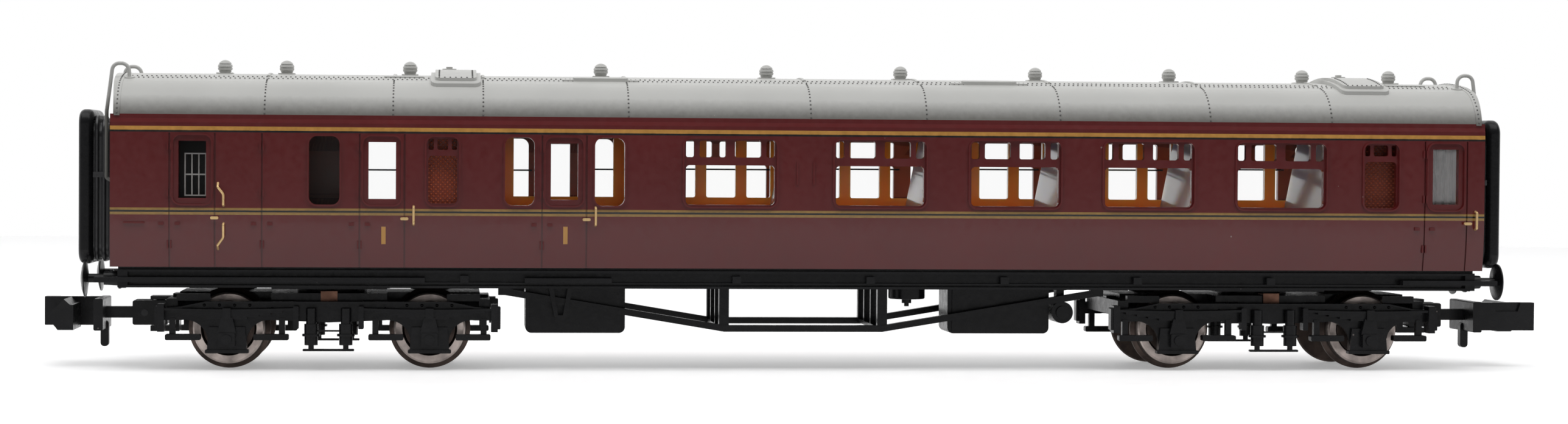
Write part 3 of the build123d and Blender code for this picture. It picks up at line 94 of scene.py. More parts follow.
def spread(tree, value, low, high, to_low=0.0, to_high=1.0):
    """Value mapped from one range to another, and held inside it."""
    inputs = {0: value, 1: low, 2: high, 3: to_low, 4: to_high}
    return node(tree, "ShaderNodeMapRange", inputs).outputs[0]


def band(tree, value, low, high):
    """1 where value lies between low and high."""
    above = math_node(tree, "GREATER_THAN", value, low)
    below = math_node(tree, "LESS_THAN", value, high)
    return math_node(tree, "MULTIPLY", above, below)


def all_of(tree, *masks):
    """1 where every mask is 1."""
    result = masks[0]
    for mask in masks[1:]:
        result = math_node(tree, "MULTIPLY", result, mask)
    return result


def coordinates(tree, where):
    """The x, y and z of a vector in metres, as values in millimetres."""
    place = node(tree, "ShaderNodeSeparateXYZ", {0: where})
    return [math_node(tree, "DIVIDE", place.outputs[axis], MM) for axis in range(3)]


def rgba(colour, level=1.0):
    """A colour, made lighter or darker, with full alpha."""
    return (*[c * level for c in colour], 1.0)


def principled(name, colour, roughness, metallic=0.0, **sockets):
    """A material with a Principled shader, and the object's coordinates to build its detail on."""
    material = bpy.data.materials.new(name)
    material.use_nodes = True
    tree = material.node_tree
    shader = tree.nodes["Principled BSDF"]
    shader.inputs["Base Color"].default_value = rgba(colour)
    shader.inputs["Roughness"].default_value = roughness
    shader.inputs["Metallic"].default_value = metallic
    for key, value in sockets.items():
        shader.inputs[key.replace("_", " ")].default_value = value
    where = node(tree, "ShaderNodeTexCoord").outputs["Object"]
    return material, tree, shader, where


def bump(tree, shader, height, depth):
    """Relief of a depth in metres on a shader's surface."""
    made = node(tree, "ShaderNodeBump", {"Height": height, "Distance": depth, "Strength": 1.0})
    tree.links.new(made.outputs[0], shader.inputs["Normal"])


# Scales of noise textures, per metre
BROAD, PATCHY, FINE = 120.0, 230.0, 1500.0
PAINT_GRAIN, MOULD_GRAIN = 1800.0, 2600.0
# Ranges of a noise that are spread over a whole mask: the narrower, the harder the mask's edges
SOFT, HARD, FILM = (0.3, 0.7), (0.35, 0.65), (0.35, 0.7)
FINE_RANGE = (0.3, 0.75)
FINE_TINT = 0.35             # of the light tone, where the fine noise is highest
GLOSS_SPREAD = 0.06          # how far the roughness of a moulding goes either way
DUST_SCALE = 900.0           # cells per metre, of which a few hold a speck
DUST_SIZE = 0.07             # radius of a speck, in cells
DUST_SHARE = 0.05            # of the cells hold one, where the amount is 1
DUST_COVER = 0.45
DUST_COLOUR = (0.55, 0.48, 0.45)


def dust(tree, where, tone, amount):
    """Pale specks of dust, far apart."""
    cells = node(tree, "ShaderNodeTexVoronoi", {"Vector": where, "Scale": DUST_SCALE, "Randomness": 1.0})
    near = math_node(tree, "LESS_THAN", cells.outputs["Distance"], DUST_SIZE)
    colour = node(tree, "ShaderNodeSeparateColor", {0: cells.outputs["Color"]})
    few = math_node(tree, "GREATER_THAN", colour.outputs[0], 1.0 - DUST_SHARE * amount)
    mask = math_node(tree, "MULTIPLY", all_of(tree, near, few), DUST_COVER)
    return mix(tree, mask, tone, rgba(DUST_COLOUR))


def moulded(name, colour, roughness, variation=0.12, grain=6e-6, metallic=0.0, specks=0.0, **sockets):
    """Moulded or painted surface: patchy colour, uneven gloss, and a fine grain of a depth in metres."""
    material, tree, shader, where = principled(name, colour, roughness, metallic, **sockets)
    patches = noise(tree, where, PATCHY)
    fine = noise(tree, where, FINE, detail=4.0)
    dark, light = rgba(colour, 1 - variation), rgba(colour, 1 + variation)
    tone = mix(tree, spread(tree, patches, *HARD), dark, light)
    tone = mix(tree, spread(tree, fine, *FINE_RANGE, 0.0, FINE_TINT), tone, light)
    if specks:
        tone = dust(tree, where, tone, specks)
    tree.links.new(tone, shader.inputs["Base Color"])
    gloss = spread(tree, fine, *SOFT, roughness - GLOSS_SPREAD, roughness + GLOSS_SPREAD)
    tree.links.new(gloss, shader.inputs["Roughness"])
    bump(tree, shader, noise(tree, where, MOULD_GRAIN, detail=2.0), grain)
    return material


# ---- Body paint ----
MAROON = (0.138, 0.0142, 0.0150)
GOLD = (0.70, 0.35, 0.080)
WAIST_GOLD = (0.42, 0.25, 0.075)
LINE_BLACK = (0.012, 0.010, 0.010)
END_BLACK = (0.014, 0.014, 0.014)
INSIDE_BROWN = (0.40, 0.11, 0.058)
END_GREY = (0.55, 0.52, 0.54)
# Heights at which each band of the lining starts and ends
GOLD_BANDS = ((21.53, 21.88, GOLD), (14.42, 14.63, WAIST_GOLD), (14.02, 14.25, WAIST_GOLD))
BLACK_BANDS = ((21.36, 21.53), (14.25, 14.42))
LINE_WAVER = 0.03            # how far the edges of the lining wander
# A gold bar on each of two doors, from x to x and from z to z
CLASS_BARS = ((-38.75, -38.37, 11.46, 13.02), (-22.48, -22.09, 11.52, 13.09))
OUTER_FACE_Y = 8.72          # the outsides of the sides lie beyond this
INNER_FACE_Y = 8.64          # and their insides within this
END_PAINT_START = HALF_LENGTH + 0.02
INSIDE_END = HALF_LENGTH - 0.2
END_WALL_START = HALF_LENGTH - 1.2
GUARD_ROOM_END = -50.0       # the inside has painted shade, dark from the guard's end to this x
STREAKS = 900.0              # per metre across, on the insides of the ends
STREAK_STRETCH = 0.12        # of that scale upwards, so that the streaks run up and down
STREAK_RANGE = (0.4, 0.7)
BODY_GLOSS = (0.15, 0.25)    # range of the roughness
BODY_RELIEF = 2.5e-6         # in metres


def side_paint(tree, where, fine, x, z, on_side):
    """Maroon with a few specks of dust, lined in gold and black, with a gold bar on two of the doors."""
    patches = noise(tree, where, BROAD)
    tone = mix(tree, spread(tree, patches, *SOFT), rgba(MAROON, 0.93), rgba(MAROON, 1.08))
    tone = dust(tree, where, tone, 1.0)
    wander = math_node(tree, "MULTIPLY_ADD", fine, LINE_WAVER, -LINE_WAVER / 2)
    height = math_node(tree, "ADD", z, wander)
    wear = spread(tree, fine, *SOFT)
    for low, high in BLACK_BANDS:
        tone = mix(tree, all_of(tree, on_side, band(tree, height, low, high)), tone, rgba(LINE_BLACK))
    for low, high, colour in GOLD_BANDS:
        gold = mix(tree, wear, rgba(colour, 0.85), rgba(colour, 1.1))
        tone = mix(tree, all_of(tree, on_side, band(tree, height, low, high)), tone, gold)
    for x0, x1, z0, z1 in CLASS_BARS:
        bar = all_of(tree, on_side, band(tree, x, x0, x1), band(tree, z, z0, z1))
        tone = mix(tree, bar, tone, rgba(GOLD))
    return tone


def inside_paint(tree, where, x, along, inside, tone):
    """Brown inside the sides, with painted shade that makes it darker in the guard's room, and streaked
    grey inside the ends.
    """
    guard_room = math_node(tree, "LESS_THAN", x, GUARD_ROOM_END)
    # painted shade: the brown is darkened inside the guard's room
    brown = mix(tree, guard_room, rgba(INSIDE_BROWN), rgba(INSIDE_BROWN, 0.2))
    tone = mix(tree, inside, tone, brown)
    stretched = node(tree, "ShaderNodeMapping", {0: where, 3: (1, 1, STREAK_STRETCH)}).outputs[0]
    streaks = spread(tree, noise(tree, stretched, STREAKS), *STREAK_RANGE)
    grey = mix(tree, streaks, rgba(END_GREY), rgba(END_GREY, 0.2))
    end_wall = all_of(tree, inside, math_node(tree, "GREATER_THAN", along, END_WALL_START))
    return mix(tree, end_wall, tone, grey)


def body_paint():
    """Lined maroon on the sides, black on the ends, and brown and grey inside."""
    material, tree, shader, where = principled("body_paint", MAROON, 0.2, Specular_IOR_Level=0.48)
    x, y, z = coordinates(tree, where)
    out = math_node(tree, "ABSOLUTE", y)
    along = math_node(tree, "ABSOLUTE", x)
    outside = math_node(tree, "GREATER_THAN", out, OUTER_FACE_Y)
    on_side = all_of(tree, outside, math_node(tree, "LESS_THAN", along, END_PAINT_START))
    inside = all_of(tree, math_node(tree, "LESS_THAN", out, INNER_FACE_Y),
                  math_node(tree, "LESS_THAN", along, INSIDE_END))
    fine = noise(tree, where, FINE, detail=4.0)
    tone = side_paint(tree, where, fine, x, z, on_side)
    on_end = math_node(tree, "GREATER_THAN", along, END_PAINT_START)
    tone = mix(tree, on_end, tone, rgba(END_BLACK))
    tone = inside_paint(tree, where, x, along, inside, tone)
    tree.links.new(tone, shader.inputs["Base Color"])
    tree.links.new(spread(tree, fine, *SOFT, *BODY_GLOSS), shader.inputs["Roughness"])
    bump(tree, shader, noise(tree, where, PAINT_GRAIN, detail=2.0), BODY_RELIEF)
    return material


# ---- Other materials ----
ROOF_GREY = (0.54, 0.54, 0.521)
ROOF_DARK, ROOF_LIGHT = (0.52, 0.52, 0.502), (0.565, 0.565, 0.546)
# Painted shade: the roof is coloured darker and browner towards the gutters, for the shade on its shoulders
ROOF_PAINTED_SHADE = (0.19, 0.185, 0.171)
PAINTED_SHADE_HEIGHTS = (24.9, 23.3)       # where the painted shade towards the gutters starts, and where it is full
PAINTED_SHADE_WAVER = 0.5                  # how far its edge wanders
ROOF_FINE = 1700.0                 # scale per metre, as the others below
ROOF_GLOSS = (0.38, 0.52)
ROOF_RELIEF = 5e-6                 # in metres, as the others below
LATTICE_PITCH = 0.42
LATTICE_RIDGE = (-0.2, 0.9)        # the range of a sine over which a ridge rises
LATTICE_PLAIN = (0.34, 0.08, 0.03)
LATTICE_DARK, LATTICE_LIGHT = (0.30, 0.045, 0.018), (0.95, 0.22, 0.075)
LATTICE_RELIEF = 5e-5
GLAZING_TINT = (0.55, 0.57, 0.57)
GLAZING_WAVES, GLAZING_RELIEF = 300.0, 1e-6
ORANGE = (0.98, 0.31, 0.06)
ORANGE_DARK, ORANGE_LIGHT = (0.97, 0.28, 0.05), (1.0, 0.34, 0.07)
ORANGE_DEPTH = 0.003               # in metres, how far light goes in it
ORANGE_SCATTER = (1.0, 0.65, 0.3)  # shares of that depth for red, green and blue
ORANGE_PATCHES, ORANGE_FINE = 260.0, 2200.0
ORANGE_GLOSS = (0.1, 0.2)
ORANGE_RELIEF = 3e-6
PAINTED_REFLECTION_PALE = (0.93, 0.88, 0.88)   # painted reflection: the pale colour of the interior's faces that look along the coach, for the light they mirror
PAINTED_REFLECTION_RANGE = (0.6, 0.9)          # of the length along the coach of a face's normal, over which the painted reflection rises
# Painted shade: the orange moulding is dark brown inside the guard's room
GUARD_ROOM_SHADE = (0.05, 0.022, 0.015)
METAL_FILM, METAL_MARKS = 700.0, 5000.0
METAL_GLOSS = (-0.1, 0.15)         # added to a metal's roughness
METAL_RELIEF = 4e-6
WHEEL_METAL = (0.6, 0.52, 0.48)
WHEEL_RING = (2.5, 3.22)           # radii of the bare ring on a wheel's face
WHEEL_FACE_Y = 4.95                # the faces of the wheels lie beyond this
BARE_LIGHT, BARE_DARK = (0.66, 0.57, 0.53), (0.36, 0.31, 0.29)
BLACKENED_LIGHT, BLACKENED_DARK = (0.10, 0.075, 0.065), (0.045, 0.036, 0.033)
WHEEL_GLOSS = (0.34, 0.56)
TURNING_MARKS = 60.0               # radians of their wave per millimetre of radius
TURNING_RELIEF = 2e-6


def roof_paint():
    """Satin grey, with painted shade that makes it a little darker and browner towards the gutters, and a
    fine grain.
    """
    material, tree, shader, where = principled("roof_grey", ROOF_GREY, 0.5, Specular_IOR_Level=0.3)
    height = coordinates(tree, where)[2]
    patches = noise(tree, where, BROAD)
    fine = noise(tree, where, ROOF_FINE, detail=4.0)
    tone = mix(tree, spread(tree, patches, *SOFT), rgba(ROOF_DARK), rgba(ROOF_LIGHT))
    # painted shade, darker and browner towards the gutters
    painted_shade = spread(tree, math_node(tree, "MULTIPLY_ADD", fine, PAINTED_SHADE_WAVER, height), *PAINTED_SHADE_HEIGHTS)
    tone = mix(tree, painted_shade, tone, rgba(ROOF_PAINTED_SHADE))
    tree.links.new(dust(tree, where, tone, 0.4), shader.inputs["Base Color"])
    tree.links.new(spread(tree, fine, *SOFT, *ROOF_GLOSS), shader.inputs["Roughness"])
    bump(tree, shader, noise(tree, where, MOULD_GRAIN, detail=2.0), ROOF_RELIEF)
    return material


def frosted():
    """Orange-brown pane with a raised diamond lattice."""
    material, tree, shader, where = principled("frosted", LATTICE_PLAIN, 0.3, Specular_IOR_Level=0.3)
    place = node(tree, "ShaderNodeSeparateXYZ", {0: where})
    waves = 2 * math.pi / (LATTICE_PITCH * MM)
    ridges = []
    for sign in (1, -1):
        across = math_node(tree, "MULTIPLY_ADD", place.outputs[2], sign, place.outputs[0])
        wave = math_node(tree, "SINE", math_node(tree, "MULTIPLY", across, waves))
        ridges.append(spread(tree, wave, *LATTICE_RIDGE))
    lattice = math_node(tree, "MULTIPLY", *ridges)
    tone = mix(tree, lattice, rgba(LATTICE_DARK), rgba(LATTICE_LIGHT))
    tree.links.new(tone, shader.inputs["Base Color"])
    bump(tree, shader, lattice, LATTICE_RELIEF)
    return material


def clear_plastic():
    """Glazing that is nearly all clear, with slight waves in its gloss."""
    material, tree, shader, where = principled("clear_plastic", GLAZING_TINT, 0.03, IOR=1.46, Alpha=0.015)
    bump(tree, shader, noise(tree, where, GLAZING_WAVES, detail=2.0), GLAZING_RELIEF)
    return material


def orange_plastic():
    """Glossy orange moulding, with a painted reflection that makes faces looking along the coach pale, and
    painted shade that makes it dark brown in the guard's room.
    """
    material, tree, shader, where = principled("interior_orange", ORANGE, 0.12, Subsurface_Weight=1.0,
                                               Subsurface_Scale=ORANGE_DEPTH,
                                               Subsurface_Radius=ORANGE_SCATTER)
    patches = noise(tree, where, ORANGE_PATCHES, detail=4.0)
    fine = noise(tree, where, ORANGE_FINE)
    tone = mix(tree, spread(tree, patches, *SOFT), rgba(ORANGE_DARK), rgba(ORANGE_LIGHT))
    normal = node(tree, "ShaderNodeSeparateXYZ", {0: node(tree, "ShaderNodeTexCoord").outputs["Normal"]})
    # painted reflection: pale on faces that look along the coach
    painted_reflection = spread(tree, math_node(tree, "ABSOLUTE", normal.outputs[0]), *PAINTED_REFLECTION_RANGE)
    tone = mix(tree, painted_reflection, tone, rgba(PAINTED_REFLECTION_PALE))
    guard_room = math_node(tree, "LESS_THAN", coordinates(tree, where)[0], GUARD_ROOM_END)
    # painted shade inside the guard's room
    tone = mix(tree, guard_room, tone, rgba(GUARD_ROOM_SHADE))
    tree.links.new(tone, shader.inputs["Base Color"])
    tree.links.new(spread(tree, fine, *SOFT, *ORANGE_GLOSS), shader.inputs["Roughness"])
    bump(tree, shader, fine, ORANGE_RELIEF)
    return material


def worn_metal(name, colour, roughness):
    """Bare metal with fine marks and a dull film."""
    material, tree, shader, where = principled(name, colour, roughness, metallic=1.0)
    film = noise(tree, where, METAL_FILM, detail=5.0)
    tone = mix(tree, spread(tree, film, *FILM), rgba(colour), rgba(colour, 0.55))
    tree.links.new(tone, shader.inputs["Base Color"])
    gloss = spread(tree, film, *SOFT, *[roughness + change for change in METAL_GLOSS])
    tree.links.new(gloss, shader.inputs["Roughness"])
    bump(tree, shader, noise(tree, where, METAL_MARKS, detail=2.0), METAL_RELIEF)
    return material


def wheel_radius(tree, x, z):
    """Distance from the axle of whichever wheel a point is on."""
    from_bogie = math_node(tree, "ABSOLUTE", math_node(tree, "SUBTRACT", x, BOGIE_CENTRE_X))
    dx = math_node(tree, "SUBTRACT", from_bogie, HALF_WHEELBASE)
    dz = math_node(tree, "SUBTRACT", z, AXLE_Z)
    squares = [math_node(tree, "MULTIPLY", d, d) for d in (dx, dz)]
    return math_node(tree, "SQRT", math_node(tree, "ADD", *squares))


def wheel_metal():
    """A bare turned ring on each wheel's face, between a blackened flange and a dark dished centre."""
    material, tree, shader, where = principled("wheel_metal", WHEEL_METAL, 0.42, metallic=1.0)
    x, y, z = coordinates(tree, where)
    radius = wheel_radius(tree, math_node(tree, "ABSOLUTE", x), z)
    film = noise(tree, where, METAL_FILM, detail=5.0)
    dull = spread(tree, film, *FILM)
    bare = mix(tree, dull, rgba(BARE_LIGHT), rgba(BARE_DARK))
    dark = mix(tree, dull, rgba(BLACKENED_LIGHT), rgba(BLACKENED_DARK))
    face = math_node(tree, "GREATER_THAN", math_node(tree, "ABSOLUTE", y), WHEEL_FACE_Y)
    tone = mix(tree, all_of(tree, face, band(tree, radius, *WHEEL_RING)), dark, bare)
    tree.links.new(tone, shader.inputs["Base Color"])
    tree.links.new(spread(tree, film, *SOFT, *WHEEL_GLOSS), shader.inputs["Roughness"])
    rings = math_node(tree, "SINE", math_node(tree, "MULTIPLY", radius, TURNING_MARKS))
    bump(tree, shader, rings, TURNING_RELIEF)
    return material


materials = {
    "body_paint": body_paint(),
    "roof_grey": roof_paint(),
    # roof_rivets: the dark grey is painted shade, for the shade on the sides of the rivet heads
    "roof_rivets": moulded("roof_rivets", (0.13, 0.13, 0.125), 0.5, variation=0.1),
    "frosted_plastic": frosted(),
    "interior_orange": orange_plastic(),
    "ballast_steel": worn_metal("ballast_steel", (0.35, 0.35, 0.36), 0.45),
    "brass_fittings": moulded("brass_fittings", (0.85, 0.58, 0.27), 0.3, metallic=0.35, grain=4e-6),
    "window_bars": moulded("window_bars", (0.60, 0.58, 0.55), 0.3),
    "steel_screws": moulded("steel_screws", (0.022, 0.022, 0.023), 0.35, metallic=0.5),
    "clear_plastic": clear_plastic(),
    "wheel_metal": wheel_metal(),
    "axle_steel": worn_metal("axle_steel", (0.28, 0.27, 0.26), 0.4),
    "copper_pickups": worn_metal("copper_pickups", (0.16, 0.085, 0.06), 0.4),
    "coupler_black": moulded("coupler_black", (0.014, 0.014, 0.015), 0.3, variation=0.3, specks=0.6,
                             Specular_IOR_Level=0.2),
    "bellows_black": moulded("bellows_black", (0.026, 0.026, 0.028), 0.33, variation=0.3, grain=1.2e-5),
    "underframe_black": moulded("underframe_black", (0.009, 0.009, 0.010), 0.28, variation=0.3, specks=0.6,
                                Specular_IOR_Level=0.2),
}
slots = {part["node"]: part["material_slot"] for part in frame["record"]["subparts"]}
for name, piece in nodes.items():
    piece.data.materials.clear()
    piece.data.materials.append(materials[slots[name]])


# ---- Mesh helpers ----
def add_piece(name, data, material, body):
    """An object in the scene with one material, which rides on a body."""
    piece = bpy.data.objects.new(name, data)
    bpy.context.scene.collection.objects.link(piece)
    piece.data.materials.append(materials[material])
    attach(piece, body)
    return piece


def mesh_piece(name, verts, faces, material, body, smooth=True):
    """A piece made of vertices in millimetres."""
    mesh = bpy.data.meshes.new(name)
    mesh.from_pydata([[c * MM for c in v] for v in verts], [], faces)
    mesh.update()
    if smooth:
        mesh.polygons.foreach_set("use_smooth", [True] * len(mesh.polygons))
    return add_piece(name, mesh, material, body)


# The rings of a rivet head, as shares of its radius and height: just under the surface, and its shoulder
DOME_RINGS = ((1.0, -0.3), (0.82, 0.62))
DOME_SIDES = 8


def add_dome(verts, faces, centre, normal, radius, height):
    """A domed rivet head on a surface, closed below."""
    normal = Vector(normal).normalized()
    side = normal.orthogonal().normalized()
    across = normal.cross(side)
    start = len(verts)
    for ring_radius, lift in DOME_RINGS:
        for index in range(DOME_SIDES):
            angle = 2 * math.pi * index / DOME_SIDES
            offset = side * math.cos(angle) + across * math.sin(angle)
            verts.append(Vector(centre) + offset * (radius * ring_radius) + normal * (lift * height))
    verts.append(Vector(centre) + normal * height)
    shoulder, crown = start + DOME_SIDES, start + 2 * DOME_SIDES
    faces.append([start + index for index in reversed(range(DOME_SIDES))])
    for index in range(DOME_SIDES):
        after = (index + 1) % DOME_SIDES
        faces.append([start + index, start + after, shoulder + after, shoulder + index])
        faces.append([shoulder + index, shoulder + after, crown])


def domes(name, places, size, material, body):
    """One piece of many rivet heads, each of a radius and a height, at places with their normals."""
    verts, faces = [], []
    for centre, normal in places:
        add_dome(verts, faces, centre, normal, *size)
    return mesh_piece(name, verts, faces, material, body)


# ---- Roof ----
HATCH_SPANS = ((-34.42, -29.92), (49.75, 54.40))   # from x to x
HATCH_HALF_WIDTH = 7.3
HATCH_TOP = 0.57
HATCH_CLEARANCE = 0.2
HATCH_RIVET_INSET = 0.75     # from the ends of a hatch to its rivets
HATCH_RIVET_EDGE = 6.6       # distance round the roof from the ridge to a hatch's outer rivets
HATCH_RIVET_FOOT = 2.6       # and to the end of the rows across it
# Each seam's x, under its welt and its rivets
PANEL_SEAMS = (-49.15, -37.75, -29.7, -16.63, -0.08, 10.53, 22.87, 36.85, 48.24)
RIVET = (0.085, 0.085)       # radius and height
RIVET_PITCH = 0.43
ROW_Y = (4.2, 5.1)           # of the two rows of rivets along each side of the ridge
ROW_END = 1.4                # from a body corner to the first rivet of a row
SEAM_FOOT = 10.9             # distance round the roof from the ridge to the last rivet of a seam
WELT_WIDTH, WELT_LIFT = 0.3, 0.12
WELT_CLEARANCE = 0.2         # from a welt's ends to the rows of rivets
STRIP_WIDTH, STRIP_LIFT = 0.5, 0.07
STRIP_REACH = SEAM_FOOT + 0.1
STRIP_INSET = 0.3            # from the roof's end to the middle of the end strip
END_RIVET_LIFT = 0.06        # they stand on the end strip
# The section of a raised strip, as shares of its width and height, from one foot to the other
STRIP_SECTION = ((-0.5, 0.6), (-0.25, 1.0), (0.25, 1.0), (0.5, 0.6))
STRIP_SUNK = 0.05            # depth of its feet in the roof
STRIP_STEPS = 60


def roof_arcs():
    """Height of the main arc's centre, centre of the shoulder arc, and the angle at which they meet."""
    main_z = ROOF_TOP - MAIN_RADIUS
    corner_z = BODY_TOP - main_z
    reach = math.hypot(ROOF_CORNER_Y, corner_z)
    between = MAIN_RADIUS - SHOULDER_RADIUS
    spread_angle = math.acos((between**2 + reach**2 - SHOULDER_RADIUS**2) / (2 * between * reach))
    angle = math.atan2(ROOF_CORNER_Y, corner_z) - spread_angle
    return main_z, (between * math.sin(angle), main_z + between * math.cos(angle)), angle


def roof_point(distance):
    """Point (y, z) and outward normal on the roof at a distance round it from the ridge, signed by side."""
    main_z, (shoulder_y, shoulder_z), angle = roof_arcs()
    sign = 1 if distance >= 0 else -1
    run = abs(distance)
    if run <= MAIN_RADIUS * angle:
        turn = run / MAIN_RADIUS
        y, z = MAIN_RADIUS * math.sin(turn), main_z + MAIN_RADIUS * math.cos(turn)
    else:
        turn = angle + (run - MAIN_RADIUS * angle) / SHOULDER_RADIUS
        y, z = shoulder_y + SHOULDER_RADIUS * math.sin(turn), shoulder_z + SHOULDER_RADIUS * math.cos(turn)
    return (sign * y, z), (sign * math.sin(turn), math.cos(turn))


def run_to(y):
    """Distance round the roof from the ridge to a distance across it."""
    return MAIN_RADIUS * math.asin(y / MAIN_RADIUS)


def clear_of_hatches(x, y):
    return not any(low - HATCH_CLEARANCE < x < high + HATCH_CLEARANCE
                   and abs(y) < HATCH_HALF_WIDTH + HATCH_CLEARANCE for low, high in HATCH_SPANS)


def roof_place(x, distance, lift=0.0):
    """A point on the roof, or above it, and the roof's outward normal there."""
    (y, z), (ny, nz) = roof_point(distance)
    return (x, y + ny * lift, z + nz * lift), (0, ny, nz)


def seam_rivets():
    """Down the lower part of each panel seam."""
    places = []
    first = run_to(ROW_Y[1]) + RIVET_PITCH
    for x in PANEL_SEAMS:
        for index in range(int((SEAM_FOOT - first) / RIVET_PITCH) + 1):
            for side in (-1, 1):
                places.append(roof_place(x, side * (first + index * RIVET_PITCH)))
    return places


def end_rivets():
    """Along the strip at each end of the roof."""
    places = []
    end = HALF_LENGTH - ROOF_END_INSET - STRIP_INSET
    for x in (-end, end):
        for index in range(int(SEAM_FOOT / RIVET_PITCH) + 1):
            for side in (-1, 1):
                places.append(roof_place(x, side * index * RIVET_PITCH, END_RIVET_LIFT))
    return places


def row_rivets():
    """Two staggered rows along each side of the ridge."""
    places = []
    start = -HALF_LENGTH + ROW_END
    for index in range(int(-2 * start / RIVET_PITCH)):
        for side in (-1, 1):
            for shift, y in enumerate(ROW_Y):
                x = start + (index + shift / 2) * RIVET_PITCH
                if clear_of_hatches(x, y):
                    places.append(roof_place(x, side * run_to(y)))
    return places


def hatch_rivets():
    """Round three sides of each half of each hatch's upper tier."""
    places = []
    for low, high in HATCH_SPANS:
        left, right = low + HATCH_RIVET_INSET, high - HATCH_RIVET_INSET
        for side in (-1, 1):
            for index in range(int((HATCH_RIVET_EDGE - HATCH_RIVET_FOOT) / RIVET_PITCH) + 1):
                for x in (left, right):
                    places.append(roof_place(x, side * (HATCH_RIVET_EDGE - index * RIVET_PITCH), HATCH_TOP))
            steps = int((right - left) / RIVET_PITCH)
            for index in range(1, steps):
                x = left + index * (right - left) / steps
                places.append(roof_place(x, side * HATCH_RIVET_EDGE, HATCH_TOP))
    return places


def roof_band(name, x, width, reach, lift):
    """A raised strip across the roof, between two distances round it from the ridge."""
    section = [(dx * width, up * lift) for dx, up in STRIP_SECTION]
    section = [(-width / 2, -STRIP_SUNK), *section, (width / 2, -STRIP_SUNK)]
    corners = len(section)
    verts, faces = [], []
    for index in range(STRIP_STEPS + 1):
        distance = -reach + 2 * reach * index / STRIP_STEPS
        for dx, up in section:
            verts.append(roof_place(x + dx, distance, up)[0])
    for index in range(STRIP_STEPS):
        for corner in range(corners):
            a, b = corners * index + corner, corners * index + (corner + 1) % corners
            faces.append([a, b, b + corners, a + corners])
    last = corners * STRIP_STEPS
    faces += [list(range(corners))[::-1], [last + corner for corner in range(corners)]]
    return mesh_piece(name, verts, faces, "roof_grey", "coach", smooth=False)


def roof_details():
    places = seam_rivets() + end_rivets() + row_rivets() + hatch_rivets()
    domes("roof_rivets", places, RIVET, "roof_rivets", "coach")
    for index, x in enumerate(PANEL_SEAMS):
        roof_band(f"roof_welt_{index}", x, WELT_WIDTH, run_to(ROW_Y[0]) - WELT_CLEARANCE, WELT_LIFT)
    for end_name, end in (("guard", -1), ("saloon", 1)):
        x = end * (HALF_LENGTH - ROOF_END_INSET - STRIP_INSET)
        roof_band(f"roof_end_strip_{end_name}", x, STRIP_WIDTH, STRIP_REACH, STRIP_LIFT)


roof_details()

# ---- Bogie bolts ----
BOLT = (0.16, 0.14)          # radius and height
# Bolts near an axle: how far along the coach they are from it, and their height
AXLE_BOLTS = ((-2.05, 5.86), (-0.7, 5.86), (0.65, 5.86), (2.0, 5.86), (-4.0, 5.55), (4.0, 5.55))


def bogie_bolts(end_name, end):
    """Bolt heads on both side frames of a bogie."""
    places = []
    for side in (-1, 1):
        for axle in (-HALF_WHEELBASE, HALF_WHEELBASE):
            for offset, z in AXLE_BOLTS:
                x = end * (BOGIE_CENTRE_X + axle) + offset
                places.append(((x, side * FRAME_FACE_Y, z), (0, side, 0)))
    return domes(f"bogie_bolts_{end_name}", places, BOLT, "underframe_black", f"bogie_{end_name}")


for end_name, end in (("guard_end", -1), ("saloon_end", 1)):
    bogie_bolts(end_name, end)

# ---- Corridor handrails ----
# Each rail's two ends along the coach, and its height
RAILS = ((-41.0, -37.2, 18.0), (-35.2, -31.3, 18.05), (-28.2, -24.9, 18.06), (-19.9, -16.5, 18.18),
         (-10.6, -1.8, 18.25), (1.9, 10.7, 18.34), (15.7, 24.4, 18.40), (28.0, 36.7, 18.43),
         (42.0, 48.8, 18.54))
RAIL_RADIUS = 0.08
RAIL_Y, RAIL_FOOT_Y = 7.9, 8.1


def rod(name, points, radius, material, body):
    """A round bar along a path of points in millimetres."""
    curve = bpy.data.curves.new(name, "CURVE")
    curve.dimensions = "3D"
    curve.bevel_depth = radius * MM
    curve.bevel_resolution = 3
    curve.use_fill_caps = True
    spline = curve.splines.new("POLY")
    spline.points.add(len(points) - 1)
    for target, point in zip(spline.points, points):
        target.co = (*[c * MM for c in point], 1.0)
    return add_piece(name, curve, material, body)


for index, (x0, x1, z) in enumerate(RAILS):
    path = [(x0, RAIL_FOOT_Y, z), (x0, RAIL_Y, z), (x1, RAIL_Y, z), (x1, RAIL_FOOT_Y, z)]
    rod(f"corridor_rail_{index}", path, RAIL_RADIUS, "underframe_black", "coach")

# ---- Studio, in metres and watts ----
FLOOR_RADIUS, FLOOR_SIDES = 0.42, 96
FLOOR_WHITE = (0.93, 0.93, 0.935)
FLOOR_BOUNCE = (0.38, 0.38, 0.385)   # what lights the object's underside
FLOOR_GLOW = 0.30                    # what the camera, metal and glass see, where 1 is white
FLOOR_GRAIN = 420.0                  # scale per metre
WORLD_LEVEL = 0.13
# Light that is added straight above and low behind the object: its level, and over what part of the
# direction's upward or backward share it rises or falls
OVERHEAD_LEVEL, OVERHEAD_RISE = 0.25, (0.35, 1.0)
BACK_LEVEL, BACK_RISE, BACK_FALL = 1.9, (0.0, 0.35), (0.25, 0.7)
MIRRORED_RISE = (0.0, 0.2)           # where the background starts to show white in reflections
LAMP_SIZE = (0.9, 0.35)
LAMP_PLACE = (-0.02, -0.14, 0.43)
LAMP_TARGET = (0, 0, 0.02)
LAMP_POWER = 2.05


